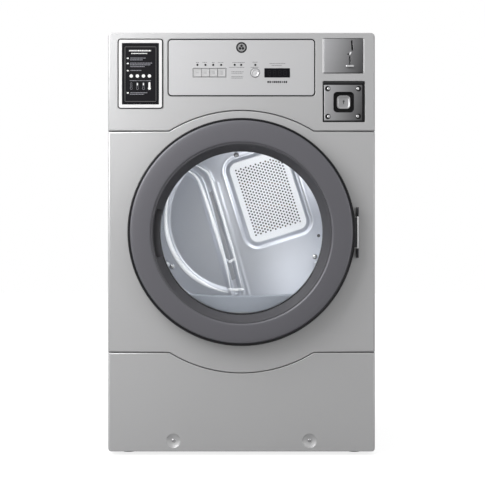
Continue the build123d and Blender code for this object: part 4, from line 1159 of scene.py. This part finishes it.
bm = bmesh.new()
cup_rings = inset_stack(
    bm, pocket, vault_front,
    ((-0.9, 0.4), (-0.3, -0.25), (0.5, -0.25), (1.1, 0.6), (1.6, 6.8), (2.8, 8.0)),
)
fill_between(bm, [cup_rings[-1]])
place_piece(bm, "lock_pocket", frame_black_and_painted_shade, "coin_drawer")

knob_face = finish(
    "knob_face", brushed_grain, (0.46, 0.46, 0.47), 0.30, 0.8,
    Streak=0.08, Cloud=0.06, Grain=(1200, 1200, 12),
)
knob_outline = box_outline(knob_low, knob_high, 9.5 * mm, 8)
bm = bmesh.new()
knob_rings = inset_stack(bm, knob_outline, knob_low.y, (
    (0.4, 8.5), (0.1, 4.0), (0, 2.2), (0.25, 1.0), (0.9, 0.25), (1.8, 0.0), (2.2, 0.0),
    (3.0, 0.15), (4.2, 0.9), (5.2, 1.2),
))
keyhole = [(x * mm + pocket_x, z * mm + pocket_z) for x, z in (
    (-1.0, -4.6), (1.0, -4.6), (1.3, 0.2), (2.4, 1.6), (2.6, 3.2), (1.5, 4.7),
    (0, 5.2), (-1.5, 4.7), (-2.6, 3.2), (-2.4, 1.6), (-1.3, 0.2),
)]
keyhole_front = ring_of(bm, keyhole, knob_low.y + 1.2 * mm)
keyhole_back = ring_of(bm, keyhole, knob_low.y + 6 * mm)
fill_between(bm, [knob_rings[-1], keyhole_front])
band_between(bm, keyhole_front, keyhole_back)
fill_between(bm, [keyhole_back])
fill_between(bm, [knob_rings[0]])
knob = place_piece(bm, "square_knob", knob_face, "lock_knob")
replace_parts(knob, "lock_knob")
# Painted highlight: a band of bright steel laid on the knob's rounded rim stands for the light it
# catches.
bm = bmesh.new()
rim_steps = ((0.5, 0.9), (0.9, 0.0), (1.7, 0.0), (2.6, 0.0), (3.1, 0.9))
inset_stack(bm, knob_outline, knob_low.y, rim_steps)
place_piece(bm, "knob_rim_painted_highlight", bright_steel_and_highlight, "lock_knob")
bm = bmesh.new()
flat_plate(bm, circle(pocket_x, pocket_z, 9 * mm, 32), knob_high.y, 9 * mm)
place_piece(bm, "lock_spindle", dark_screw, "lock_knob")

# Painted shade: a black ring behind each screw stands for the shade in its recess, and each head
# sits off centre so the ring shows as a dark crescent on its outer side.
bm = bmesh.new()
bright_heads = bmesh.new()
for x, z, side in ((221.5, 942, 1), (300.6, 942, -1), (222, 870.6, 1), (300.2, 871, -1)):
    flat_plate(bm, circle(x * mm, z * mm, 7.0 * mm, 32), vault_front, 0.3 * mm)
    screw_head(bright_heads, (x + 2.0 * side) * mm, z * mm, vault_front, 4.0 * mm, 2.4 * mm)
place_piece(bm, "vault_screw_shade_rings", frame_black_and_painted_shade, "coin_drawer")
place_piece(bright_heads, "vault_screws", bright_steel_and_highlight, "coin_drawer")


# Door. A moulded dark silver ring with a fine groove and a band sloping to the glass,
# an undercut finger grip on the left, a black liner behind and a rubber gasket.
door_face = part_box("door_ring")[0].y
ring_silver = finish(
    "door_ring_silver", satin_coat, (0.142, 0.140, 0.156), 0.40, 0.35, 0.1,
    Cloud=0.03, Fleck=0.08, Peel=0.08,
)
grip_half_angle = 16.2
ring_profile = [
    (282.7, 36.0), (282.7, 6.0), (282.5, 3.6), (281.8, 2.2), (280.2, 1.4), (278.0, 0.9),
    (273.0, 0.5), (266.0, 0.2), (259.0, 0.0), (246.0, 0.05), (236.0, 0.3), (233.0, 0.45),
    (231.6, 0.8), (230.6, 1.6), (229.9, 2.6), (229.0, 3.1), (229.0, 5.0),
]


def bevel_profile(angle):
    """Radius and depth pairs of the inner band at an angle from straight left, in degrees."""
    profile = [
        (229.4, 5.0), (229.4, 3.9), (228.6, 3.5), (227.2, 3.4), (225.9, 3.5), (225.0, 4.0),
        (224.2, 5.0), (223.6, 6.0),
    ]
    if abs(angle) < grip_half_angle:
        return profile + [
            (223.3, 6.6), (223.3, 9.0), (224.5, 10.6), (240.0, 11.2), (245.0, 12.5),
            (245.5, 20.0), (244.0, 26.2), (240.0, 27.2), (212.0, 27.4), (210.2, 27.0),
            (209.4, 26.6), (208.5, 28.0), (208.5, 29.6),
        ]
    return profile + [
        (222.4, 7.7), (221.0, 9.6), (219.6, 11.6), (217.6, 14.4), (216.0, 16.8), (214.4, 19.2),
        (212.8, 21.6), (211.4, 23.8), (210.2, 25.6), (209.4, 26.8), (208.7, 27.6),
        (208.5, 28.2), (208.5, 29.6),
    ]


def window_drop(radius):
    """How far the window's own centre sits below the door's, in metres."""
    return 3.4 * mm * max(0.0, min(1.0, (262 - radius) / 30))


def strip_between(bm, first, second):
    """Faces between two open lines of vertices."""
    for index in range(len(first) - 1):
        bm.faces.new((first[index], first[index + 1], second[index + 1], second[index]))


def turned_ring(bm, angles, profile_at, y, closed, drop=lambda radius: 0.0):
    """A surface swept about the door's axis, with a profile for each angle."""
    sections = []
    for angle in angles:
        turn = math.radians(180 - angle)
        sections.append([
            bm.verts.new((
                door_x + radius * mm * math.cos(turn), y + depth * mm,
                door_z + radius * mm * math.sin(turn) - drop(radius),
            ))
            for radius, depth in profile_at(angle)
        ])
    pairs = list(zip(sections, sections[1:]))
    if closed:
        pairs.append((sections[-1], sections[0]))
    for first, second in pairs:
        strip_between(bm, first, second)


grip_step = 1.5
ring_angles = [-180 + grip_step * step for step in range(240)]
ring_angles = [angle for angle in ring_angles if abs(abs(angle) - grip_half_angle) > 0.6]
ring_angles += [side * (grip_half_angle + gap) for side in (-1, 1) for gap in (-0.05, 0.05)]
whole_turn = [-180 + 2 * step for step in range(180)]
bm = bmesh.new()
turned_ring(bm, whole_turn, lambda angle: ring_profile, door_face, True, window_drop)
door_front = place_piece(bm, "door_front", ring_silver, "door", 42)
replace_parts(door_front, "door_ring")
bevel_dark = finish(
    "door_bevel_dark", satin_coat, (0.075, 0.074, 0.082), 0.46, 0.1, 0.0, 0.4,
    Cloud=0.05, Fleck=0.08, Peel=0.08,
)
bm = bmesh.new()
turned_ring(bm, sorted(ring_angles), bevel_profile, door_face, True, window_drop)
place_piece(bm, "door_bevel", bevel_dark, "door", 42)

liner_black = finish(
    "liner_black", satin_coat, (0.012, 0.012, 0.014), 0.4, 0.0, 0.0, 0.2,
    Cloud=0.1, Fleck=0.1, Peel=0.15,
)
rubber_grey = finish(
    "rubber_grey", satin_coat, (0.035, 0.035, 0.037), 0.7, Cloud=0.2, Fleck=0.2, Peel=0.3,
)
liner_profile = [
    (214.6, 30.2), (214.6, 36.4), (283.2, 36.4), (283.2, 5.0), (283.4, 3.2), (284.8, 2.6),
    (286.4, 3.4), (287.3, 4.8), (287.9, 7.0), (288.0, 10.0), (288.0, 34.0), (288.6, 36.0),
    (291.0, 36.5), (291.8, 37.2), (292.0, 38.5), (292.0, 42.5),
    (291.6, 43.8), (290.4, 44.5), (224.0, 44.5), (222.6, 45.2), (222.0, 47.0), (221.4, 64.0),
    (220.4, 68.5), (217.5, 70.4), (213.5, 70.4), (210.0, 68.5), (208.6, 64.0), (208.4, 36.6),
    (214.4, 36.0),
]
bm = bmesh.new()
turned_ring(bm, whole_turn, lambda angle: liner_profile, door_face, True)
strike_pin = ((5, 44.4), (5, 60.5), (4.6, 62.6), (3.6, 63.8), (2.0, 64.4))
pin_rings = circle_stack(bm, strike_x, door_z, door_face, 24, strike_pin)
fill_between(bm, [pin_rings[-1]])
door_back = place_piece(bm, "door_back", liner_black, "door")
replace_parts(door_back, "door_liner")

gasket_profile = [
    (240, 44.5), (240, 47.0), (241.5, 48.8), (244, 49.5), (251, 48.6), (258, 49.5),
    (260.5, 48.8), (262, 47.0), (262, 44.5),
]
bm = bmesh.new()
turned_ring(bm, whole_turn, lambda angle: gasket_profile, door_face, True)
gasket = place_piece(bm, "door_seal", rubber_grey, "door")
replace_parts(gasket, "door_gasket")

# Plain toughened glass with a faint surface haze. It throws no shadow into the drum.
clear_glass = finish(
    "toughened_glass", satin_coat, (0.97, 0.98, 0.98), 0.004, Cloud=0.008, Fleck=0.002, Peel=0.0,
)
glass_shader = clear_glass.node_tree.nodes["Principled BSDF"]
glass_shader.inputs["Transmission Weight"].default_value = 1.0
glass_shader.inputs["IOR"].default_value = 1.45
glass_profile = [
    (4, 30.0), (120, 30.0), (212.8, 30.0), (213.7, 30.4), (214.0, 31.2), (214.0, 33.8),
    (213.7, 34.6), (212.8, 35.0), (120, 35.0), (4, 35.0),
]
bm = bmesh.new()
turned_ring(bm, whole_turn, lambda angle: glass_profile, door_face, True)
for depth in (30.0, 35.0):
    cap = [
        vert for vert in bm.verts
        if abs(vert.co.y - door_face - depth * mm) < 1e-6
        and (vert.co.x - door_x) ** 2 + (vert.co.z - door_z) ** 2 < (5 * mm) ** 2
    ]
    cap.sort(key=lambda vert: math.atan2(vert.co.z - door_z, vert.co.x - door_x))
    bm.faces.new(cap)
pane = place_piece(bm, "door_pane", clear_glass, "door", 10)
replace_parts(pane, "door_glass")
pane.visible_shadow = False

bm = bmesh.new()
glass_seal = [(208.3, 29.9), (208.3, 29.2), (209.2, 28.7), (211.0, 28.9), (212.0, 29.9)]
turned_ring(bm, whole_turn, lambda angle: glass_seal, door_face, True, window_drop)
place_piece(bm, "pane_seal", rubber_grey, "door")


# Door hinge. Two small dark ears on the panel carry a steel pin. A barrel on the door's
# leaf turns between them at the right edge of the ring. The barrel is painted bright as a
# painted highlight, and the leaf is painted dark as painted shade.
# Dark finish for the catch and ears, and painted shade on the hinge leaf.
hinge_black_and_painted_shade = finish(
    "hinge_black_and_painted_shade", satin_coat, (0.05, 0.05, 0.055), 0.35, 0.6, 0.1,
    Cloud=0.1, Fleck=0.1, Peel=0.1,
)
# Steel painted bright: a painted highlight for the light the barrel's edge catches.
hinge_steel_painted_highlight = finish(
    "hinge_steel_painted_highlight", brushed_grain, (0.88, 0.88, 0.89), 0.34, 0.4,
    Streak=0.08, Cloud=0.05, Grain=(900, 900, 15),
)
dress(hinge_black_and_painted_shade, "door_catch")
pin_low, pin_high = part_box("hinge_pin")
arm_low, arm_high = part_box("hinge_arm")
pin_x = (pin_low.x + pin_high.x) / 2
pin_y = (pin_low.y + pin_high.y) / 2


def knuckle(bm, radius, low_z, high_z, reach_x, reach_y):
    """An upright barrel about the pin with rounded ends and a web that leads away."""
    ends = [(0.7, 0.0), (0.92, 0.4), (1.0, 1.2)]
    levels = [(part, low_z + rise * mm) for part, rise in ends]
    levels += [(part, high_z - rise * mm) for part, rise in ends[::-1]]
    rings = []
    for part, z in levels:
        size = radius * part
        outline = arc_points(pin_x, pin_y, size, -90, 90, 12)
        outline = outline if reach_x else arc_points(pin_x, pin_y, size, -180, 0, 12)
        if reach_x:
            outline += [(pin_x - reach_x, pin_y + size), (pin_x - reach_x, pin_y - size)]
        else:
            outline += [(pin_x + size, pin_y + reach_y), (pin_x - size, pin_y + reach_y)]
        rings.append([bm.verts.new((x, y, z)) for x, y in outline])
    band_stack(bm, rings)
    bm.faces.new(rings[0])
    bm.faces.new(rings[-1])


bm = bmesh.new()
knuckle(bm, 2.4 * mm, pin_low.z, arm_low.z - 0.6 * mm, 0, front - pin_y)
knuckle(bm, 2.4 * mm, arm_high.z + 0.6 * mm, pin_high.z, 0, front - pin_y)
ears = place_piece(bm, "hinge_knuckles", hinge_black_and_painted_shade, "cabinet")
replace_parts(ears, "hinge_ears")
# Painted shade: the leaf is painted dark.
bm = bmesh.new()
knuckle(bm, 1.3 * mm, arm_low.z + 2 * mm, arm_high.z - 2 * mm, 13 * mm, 0)
place_piece(bm, "hinge_leaf_painted_shade", hinge_black_and_painted_shade, "door")
bm = bmesh.new()
knuckle(bm, 2.4 * mm, arm_low.z, arm_high.z, 1.6 * mm, 0)
swing_arm = place_piece(bm, "hinge_barrel", hinge_steel_painted_highlight, "door")
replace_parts(swing_arm, "hinge_arm")
bm = bmesh.new()
pin_ends = [
    [bm.verts.new((x, y, z)) for x, y in arc_points(pin_x, pin_y, 1.8 * mm, 0, 345, 23)]
    for z in (pin_low.z, pin_high.z)
]
band_between(bm, *pin_ends)
bm.faces.new(pin_ends[0])
bm.faces.new(pin_ends[1])
slim_pin = place_piece(bm, "hinge_spindle", hinge_steel_painted_highlight, "cabinet")
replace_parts(slim_pin, "hinge_pin")


# Drum opening. A bright collar lines the way in, and the front bulkhead behind it has a
# flat lint cover along the bottom with a rolled edge. Three small steel clips face it.
throat_steel = finish(
    "throat_steel", satin_coat, (0.40, 0.43, 0.49), 0.34, 0.55, 0.1, Cloud=0.04, Fleck=0.05,
    Peel=0.06,
)
dress(throat_steel, "throat_ring")
bulkhead_low, bulkhead_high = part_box("front_bulkhead")
bulkhead_front = bulkhead_low.y
band_height = 414 * mm
band_sag = 6 * mm
way_radius = 216 * mm
drum_middle = 612
drum_z = drum_middle * mm


def way_in(radius, height, steps=120):
    """The loading opening: a circle with its foot cut by a shallow upward bow."""
    half = math.sqrt(radius**2 - (door_z - height) ** 2)
    low = math.degrees(math.atan2(height - door_z, half))
    outline = arc_points(door_x, door_z, radius, low, 180 - low, steps)
    bow_radius = (half**2 + band_sag**2) / (2 * band_sag)
    spread = math.degrees(math.asin(half / bow_radius))
    return outline + arc_points(
        door_x, height - band_sag + bow_radius, bow_radius, 270 - spread, 270 + spread, 40
    )[1:-1]


bulkhead_half = bulkhead_high.x
outline = [(bulkhead_half, bulkhead_low.z + 2 * mm), (bulkhead_half, drum_z)]
start_angle = 4
outline += arc_points(0, drum_z, bulkhead_high.z - drum_z, start_angle, 180 - start_angle, 90)
outline += [(-bulkhead_half, drum_z), (-bulkhead_half, bulkhead_low.z + 2 * mm)]
outline = [(max(-bulkhead_half, min(bulkhead_half, x)), z) for x, z in outline]
bm = bmesh.new()
way = way_in(way_radius, band_height)
hole_steps = [
    ring_of(bm, offset_loop(way, inset * mm), bulkhead_front + depth * mm)
    for inset, depth in ((-5, 0), (-3.4, 0.15), (-1.8, 0.7), (-0.6, 1.8), (0, 3.4), (0, 6.0))
]
rim = ring_of(bm, outline, bulkhead_front)
fill_between(bm, [rim, hole_steps[0]])
band_stack(bm, hole_steps)
front_wall = place_piece(bm, "front_wall", throat_steel, "cabinet")
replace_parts(front_wall, "front_bulkhead")

clip_steel = finish(
    "clip_steel", brushed_grain, (0.85, 0.86, 0.88), 0.25, 0.8,
    Streak=0.05, Cloud=0.05, Grain=(300, 300, 300),
)
clip_depth = 14 * mm
bm = bmesh.new()
for angle in (-18.5, 206.5, 93.9):
    centre = arc_points(door_x, door_z, 201.5 * mm, angle, angle, 1)[0]
    rings = circle_stack(
        bm, *centre, bulkhead_front - clip_depth, 24,
        ((7.0, 14.0), (7.0, 4.0), (6.4, 1.8), (4.8, 0.5), (2.4, 0.0)),
    )
    fill_between(bm, [rings[-1]])
place_piece(bm, "collar_clips", clip_steel, "cabinet")


# Rear wall of the drum. A pressed stainless dish with a rounded D-shaped boss on the
# left, a leaning channel beside it and a raised seat for the perforated air grille.
grille_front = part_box("inlet_grille")[0].y
grille_x = 81
grille_z = 690
grille_width = 179
grille_height = 253
grille_corner = 25
grille_lean = math.radians(17.4)
boss_x = -5
boss_z = 620
boss_radius = 229
dish_edge = 280
dish_radius = dish_edge * mm
dish_front = 246.9 * mm


def smooth(value):
    """A smooth step from 0 to 1."""
    value = max(0.0, min(1.0, value))
    return value * value * (3 - 2 * value)


def ridge(distance, width):
    """A rounded ridge, one at its middle and none beyond its width."""
    share = abs(distance) / width
    return 0.0 if share >= 1 else (1 - share * share) ** 2


def side_of(x, z, first, second):
    """Signed distance of a point from a line; positive is to the line's right."""
    along = Vector(second) - Vector(first)
    along.normalize()
    away = Vector((x, z)) - Vector(first)
    return away.x * along.y - away.y * along.x


def grille_distance(x, z):
    """Signed distance outside the rounded seat of the grille."""
    dx, dz = x - grille_x, z - grille_z
    u = dx * math.cos(grille_lean) + dz * math.sin(grille_lean)
    v = -dx * math.sin(grille_lean) + dz * math.cos(grille_lean)
    over_u = abs(u) - grille_width / 2 + grille_corner
    over_v = abs(v) - grille_height / 2 + grille_corner
    outside = math.hypot(max(over_u, 0), max(over_v, 0))
    return outside + min(max(over_u, over_v), 0) - grille_corner


channel_line = [
    (-15, 396), (-27, 440), (-37, 484), (-107, 728), (-118, 752), (-146, 775), (-230, 806),
]


def path_distance(x, z, path):
    """The shortest distance from a point to a bent line."""
    nearest = 1e9
    for (first_x, first_z), (second_x, second_z) in zip(path, path[1:]):
        along_x, along_z = second_x - first_x, second_z - first_z
        share = ((x - first_x) * along_x + (z - first_z) * along_z) / (along_x**2 + along_z**2)
        share = max(0.0, min(1.0, share))
        nearest = min(
            nearest, math.hypot(x - first_x - share * along_x, z - first_z - share * along_z)
        )
    return nearest


def wall_relief(x, z):
    """Height of the pressed shapes, toward the drum, with all lengths in millimetres."""
    from_boss = math.hypot(x - boss_x, z - boss_z) - boss_radius
    left = smooth((8 - side_of(x, z, (-48, 432), (-133, 728))) / 14)
    under = smooth((745 - z - 0.6 * (x + 133)) / 14)
    boss = -5 * smooth(-(from_boss + 4) / 10) * left * under
    from_channel = path_distance(x, z, channel_line)
    channel = -8 * (1 - smooth((from_channel - 6) / 9)) + 0.8 * ridge(from_channel - 20, 8)
    step = 4 * ridge((z - 489) + 0.2 * (x + 31), 6) * (1 - smooth((from_channel - 8) / 8))
    around = grille_distance(x, z)
    seat = 3 * (1 - smooth((around - 2) / 6)) - 2.5 * ridge(around - 13, 7)
    seat += 0.3 * ridge(around - 24, 6)
    fold = 0.6 * ridge(side_of(x, z, (12, 409), (-82, 735)) - 4, 7) * (1 if z < 735 else 0)
    return boss + channel + step + seat + fold


def wall_sheet():
    """The dish as a fine grid of rings, with its pressed relief and a hole for air."""
    bm = bmesh.new()
    cell = 2.6
    count = int(2 * dish_radius / mm / cell) + 2
    grid = {}
    for row in range(count + 1):
        for column in range(count + 1):
            x = column * cell - dish_edge
            z = drum_middle - dish_edge + row * cell
            distance = math.hypot(x, z - drum_middle)
            if distance > dish_edge - 1 or grille_distance(x, z) < -9:
                continue
            y = dish_front - wall_relief(x, z) * mm
            if distance > 268:
                y += 5 * mm * ((distance - 268) / 11) ** 2
            grid[row, column] = bm.verts.new((x * mm, y, z * mm))
    for row in range(count):
        for column in range(count):
            corners = [(row, column), (row, column + 1), (row + 1, column + 1), (row + 1, column)]
            held = [grid[corner] for corner in corners if corner in grid]
            if len(held) >= 3:
                bm.faces.new(held)
    return bm


stainless = finish(
    "drum_stainless", brushed_grain, (0.60, 0.62, 0.67), 0.30, 0.85,
    Streak=0.05, Cloud=0.06, Grain=(30, 30, 30),
)
bm = wall_sheet()
circle_stack(bm, 0, drum_z, 0, 160, ((276, 249), (280, 254), (280, 270.9), (334, 270.9)))
rear_wall = place_piece(bm, "rear_wall", stainless, "cabinet", 80)
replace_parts(rear_wall, "rear_bulkhead")

# Painted highlight: the beads that trace the pressed ridges are a near-white, barely metallic
# steel so the ridges read as bright lines.
bead_painted_highlight = finish(
    "bead_painted_highlight", brushed_grain, (0.95, 0.96, 0.97), 0.36, 0.15,
    Streak=0.03, Cloud=0.04, Grain=(40, 40, 40),
)


def bead(bm, path, width, rise):
    """A half-round bead along a bent line, in millimetres, that thins out at both ends."""
    sections = []
    count = len(path)
    for index, (x, z) in enumerate(path):
        before = Vector(path[max(0, index - 1)])
        after = Vector(path[min(count - 1, index + 1)])
        along = (after - before).normalized()
        taper = min(1.0, 0.12 + 3.0 * min(index, count - 1 - index) / count)
        section = []
        for part in range(9):
            angle = math.pi * part / 8
            side = width / 2 * taper * math.cos(angle)
            lift = rise * taper * math.sin(angle)
            base = dish_front - wall_relief(x, z) * mm
            section.append(bm.verts.new((
                (x - along.y * side) * mm, base + 1.0 * mm - lift * mm, (z + along.x * side) * mm,
            )))
        sections.append(section)
    for first, second in zip(sections, sections[1:]):
        strip_between(bm, first, second)


def between(first, second, part, count):
    """The point that is some of a count of steps from the first point to the second."""
    return tuple(start + (end - start) * part / count for start, end in zip(first, second))


def dense(path, step):
    """A bent line with its corners rounded and its points evenly close."""
    for _ in range(3):
        cut = [path[0]]
        for (ax, az), (bx, bz) in zip(path, path[1:]):
            cut.append((0.78 * ax + 0.22 * bx, 0.78 * az + 0.22 * bz))
            cut.append((0.22 * ax + 0.78 * bx, 0.22 * az + 0.78 * bz))
        path = cut + [path[-1]]
    points = [path[0]]
    for first, second in zip(path, path[1:]):
        pieces = max(1, int(math.hypot(second[0] - first[0], second[1] - first[1]) / step))
        points += [between(first, second, piece, pieces) for piece in range(1, pieces + 1)]
    return points


bm = bmesh.new()
bead(bm, arc_points(boss_x, boss_z, boss_radius, 158, 263, 70), 14, 5.5)
left_of_channel = [(-215, 786), (-160, 766), (-129, 741), (-51, 492), (-43, 455), (-34, 402)]
right_of_channel = [
    (-190, 800), (-132, 782), (-104, 764), (-91, 736), (-20, 499), (-12, 460), (2, 404),
]
for path, step, width, rise in (
    (left_of_channel, 4.0, 12, 5.5),
    (right_of_channel, 4.0, 9, 5),
    ([(-44, 486), (-30, 491), (-19, 498)], 2.0, 8, 3),
    ([(-44, 404), (-20, 400), (8, 404)], 3.0, 10, 3),
):
    bead(bm, dense(path, step), width, rise)
place_piece(bm, "wall_beads", bead_painted_highlight, "cabinet", 60)

# Painted shade: a dark steel strip laid along the floor of the channel stands in for the shade
# and dark reflection in it.
channel_painted_shade = finish(
    "channel_floor_painted_shade", brushed_grain, (0.30, 0.31, 0.33), 0.40, 0.4,
    Streak=0.08, Cloud=0.10, Grain=(60, 60, 60),
)
bm = bmesh.new()
runs = []
for start, end, inset in (((-106, 700), (-37, 430), 6.5), ((-86, 706), (-13, 436), -5.5)):
    along = [between(start, end, part, 24) for part in range(25)]
    runs.append([(x + inset, z) for x, z in along])
lines = [
    [
        bm.verts.new((x * mm, dish_front - (wall_relief(x, z) + 0.4) * mm, z * mm))
        for x, z in (between(left, right, part, 6) for part in range(7))
    ]
    for left, right in zip(*runs)
]
for first, second in zip(lines, lines[1:]):
    strip_between(bm, first, second)
place_piece(bm, "wall_channel_painted_shade", channel_painted_shade, "cabinet", 60)

grille_bright = finish(
    "grille_bright", brushed_grain, (0.78, 0.79, 0.81), 0.42, 0.20,
    Streak=0.04, Cloud=0.04, Grain=(60, 60, 60),
)
turn = Matrix.Rotation(grille_lean, 2)


def on_grille(point):
    """A point of the upright grille, leaned and put in its place on the wall."""
    spot = turn @ Vector(point)
    return grille_x * mm + spot.x, grille_z * mm + spot.y


def grille_outline(grow):
    """The grille's rounded outline, grown by a distance in millimetres."""
    across = (grille_width / 2 + grow) * mm
    up = (grille_height / 2 + grow) * mm
    base = rounded_box(-across, across, -up, up, (grille_corner + grow) * mm, 9)
    return [on_grille(point) for point in base]


grille_holes = []
for row in range(43):
    for column in range(10 - row % 2):
        across = (column - 4.5 + 0.5 * (row % 2)) * 15.8
        spot = on_grille((across * mm, (row - 21) * 4.95 * mm))
        grille_holes.append(circle(*spot, 2.9 * mm, 10))
bm = bmesh.new()
pressed(
    bm, grille_outline(2), grille_holes, grille_front - 4.2 * mm, 5.2 * mm, 3.2 * mm, 0.3 * mm,
    steps=5,
)
air_grille = place_piece(bm, "air_grille", grille_bright, "cabinet", 50)
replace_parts(air_grille, "inlet_grille")
bm = bmesh.new()
screw_head(bm, 236.5 * mm, 568 * mm, dish_front, 5 * mm, 2.4 * mm)
place_piece(bm, "rear_wall_screw", dark_screw, "cabinet")


# Drum and its drive. A rolled stainless drum with three moulded lifters turns on two
# rubber rollers, driven by a belt from the motor, with felt seals at both ends.
drum_steel = finish(
    "drum_shell_steel", brushed_grain, (0.66, 0.68, 0.72), 0.26, 0.85,
    Streak=0.06, Cloud=0.05, Grain=(20, 900, 20),
)
lifter_white = finish(
    "lifter_plastic", satin_coat, (0.74, 0.76, 0.79), 0.4, 0.0, 0.1,
    Cloud=0.03, Fleck=0.04, Peel=0.1,
)
dress(drum_steel, "drum_shell")
dress(lifter_white, "drum_baffles", "lint_filter")
roller_rubber = finish(
    "roller_rubber", satin_coat, (0.030, 0.030, 0.032), 0.72, Cloud=0.3, Fleck=0.2, Peel=0.4,
)
dress(roller_rubber, "drive_belt", "left_roller", "right_roller")
felt_grey = finish(
    "wool_felt", satin_coat, (0.30, 0.29, 0.27), 0.9, Cloud=0.3, Fleck=0.6, Peel=0.8,
)
dress(felt_grey, "drum_felts")
turned_steel = finish(
    "turned_steel", brushed_grain, (0.55, 0.55, 0.56), 0.28, 1.0,
    Streak=0.15, Cloud=0.06, Grain=(20, 900, 20),
)
dress(turned_steel, "roller_shafts", "motor_shaft")


# Heat, air and power. Zinc ducts lead hot air in and moist air out through the blower
# beside the motor. The open heater rods sit behind the grille.
heater_dark = finish(
    "heater_rods", satin_coat, (0.16, 0.12, 0.10), 0.5, 0.8, Cloud=0.5, Fleck=0.3, Peel=0.3,
)
motor_grey = finish(
    "motor_paint", satin_coat, (0.10, 0.11, 0.12), 0.45, 0.2, 0.2, Cloud=0.1, Fleck=0.1, Peel=0.5,
)
dull_zinc = finish(
    "dull_zinc", brushed_grain, (0.45, 0.46, 0.47), 0.45, 0.85,
    Streak=0.10, Cloud=0.35, Grain=(40, 40, 60),
)
moulded_black = finish(
    "moulded_black", satin_coat, (0.025, 0.025, 0.027), 0.45, 0.0, 0.1, Cloud=0.15, Fleck=0.1,
    Peel=0.3,
)
dress(heater_dark, "heater_element")
dress(motor_grey, "motor_case", "idler_arm", "idler_bracket")
# Painted shade: the heater duct behind the grille is a near-black zinc so the grille holes read
# dark.
painted_shade_zinc = finish(
    "duct_painted_shade_zinc", brushed_grain, (0.06, 0.06, 0.065), 0.6, 0.5,
    Streak=0.10, Cloud=0.35, Grain=(40, 40, 60),
)
dress(painted_shade_zinc, "heater_duct")
dress(
    dull_zinc, "lint_duct", "blower_housing", "blower_wheel", "coin_box",
    "coin_acceptor",
)
dress(
    moulded_black, "terminal_block", "idler_pulley",
    "front_left_foot", "front_right_foot", "rear_left_foot", "rear_right_foot",
)


# Drum lamps and size. Four small lamps inside the front of the drum light its rear wall
# through the door glass, two of them without a glint.
soft_lamp("drum_lamp", (0.10, -0.22, 0.78), (0.06, 0.24, 0.60), 0.20, 0.55)
soft_lamp("drum_fill_lamp", (0.20, -0.24, 0.44), (0.12, 0.24, 0.44), 0.20, 0.16)
for place, power in (((0.04, -0.20, 0.72), 1.0), ((-0.15, -0.20, 0.50), 0.5)):
    glow = soft_lamp("drum_glow_lamp", place, (place[0] * 0.6, 0.24, 0.57), 0.25, power)
    glow.visible_glossy = False
low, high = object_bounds()
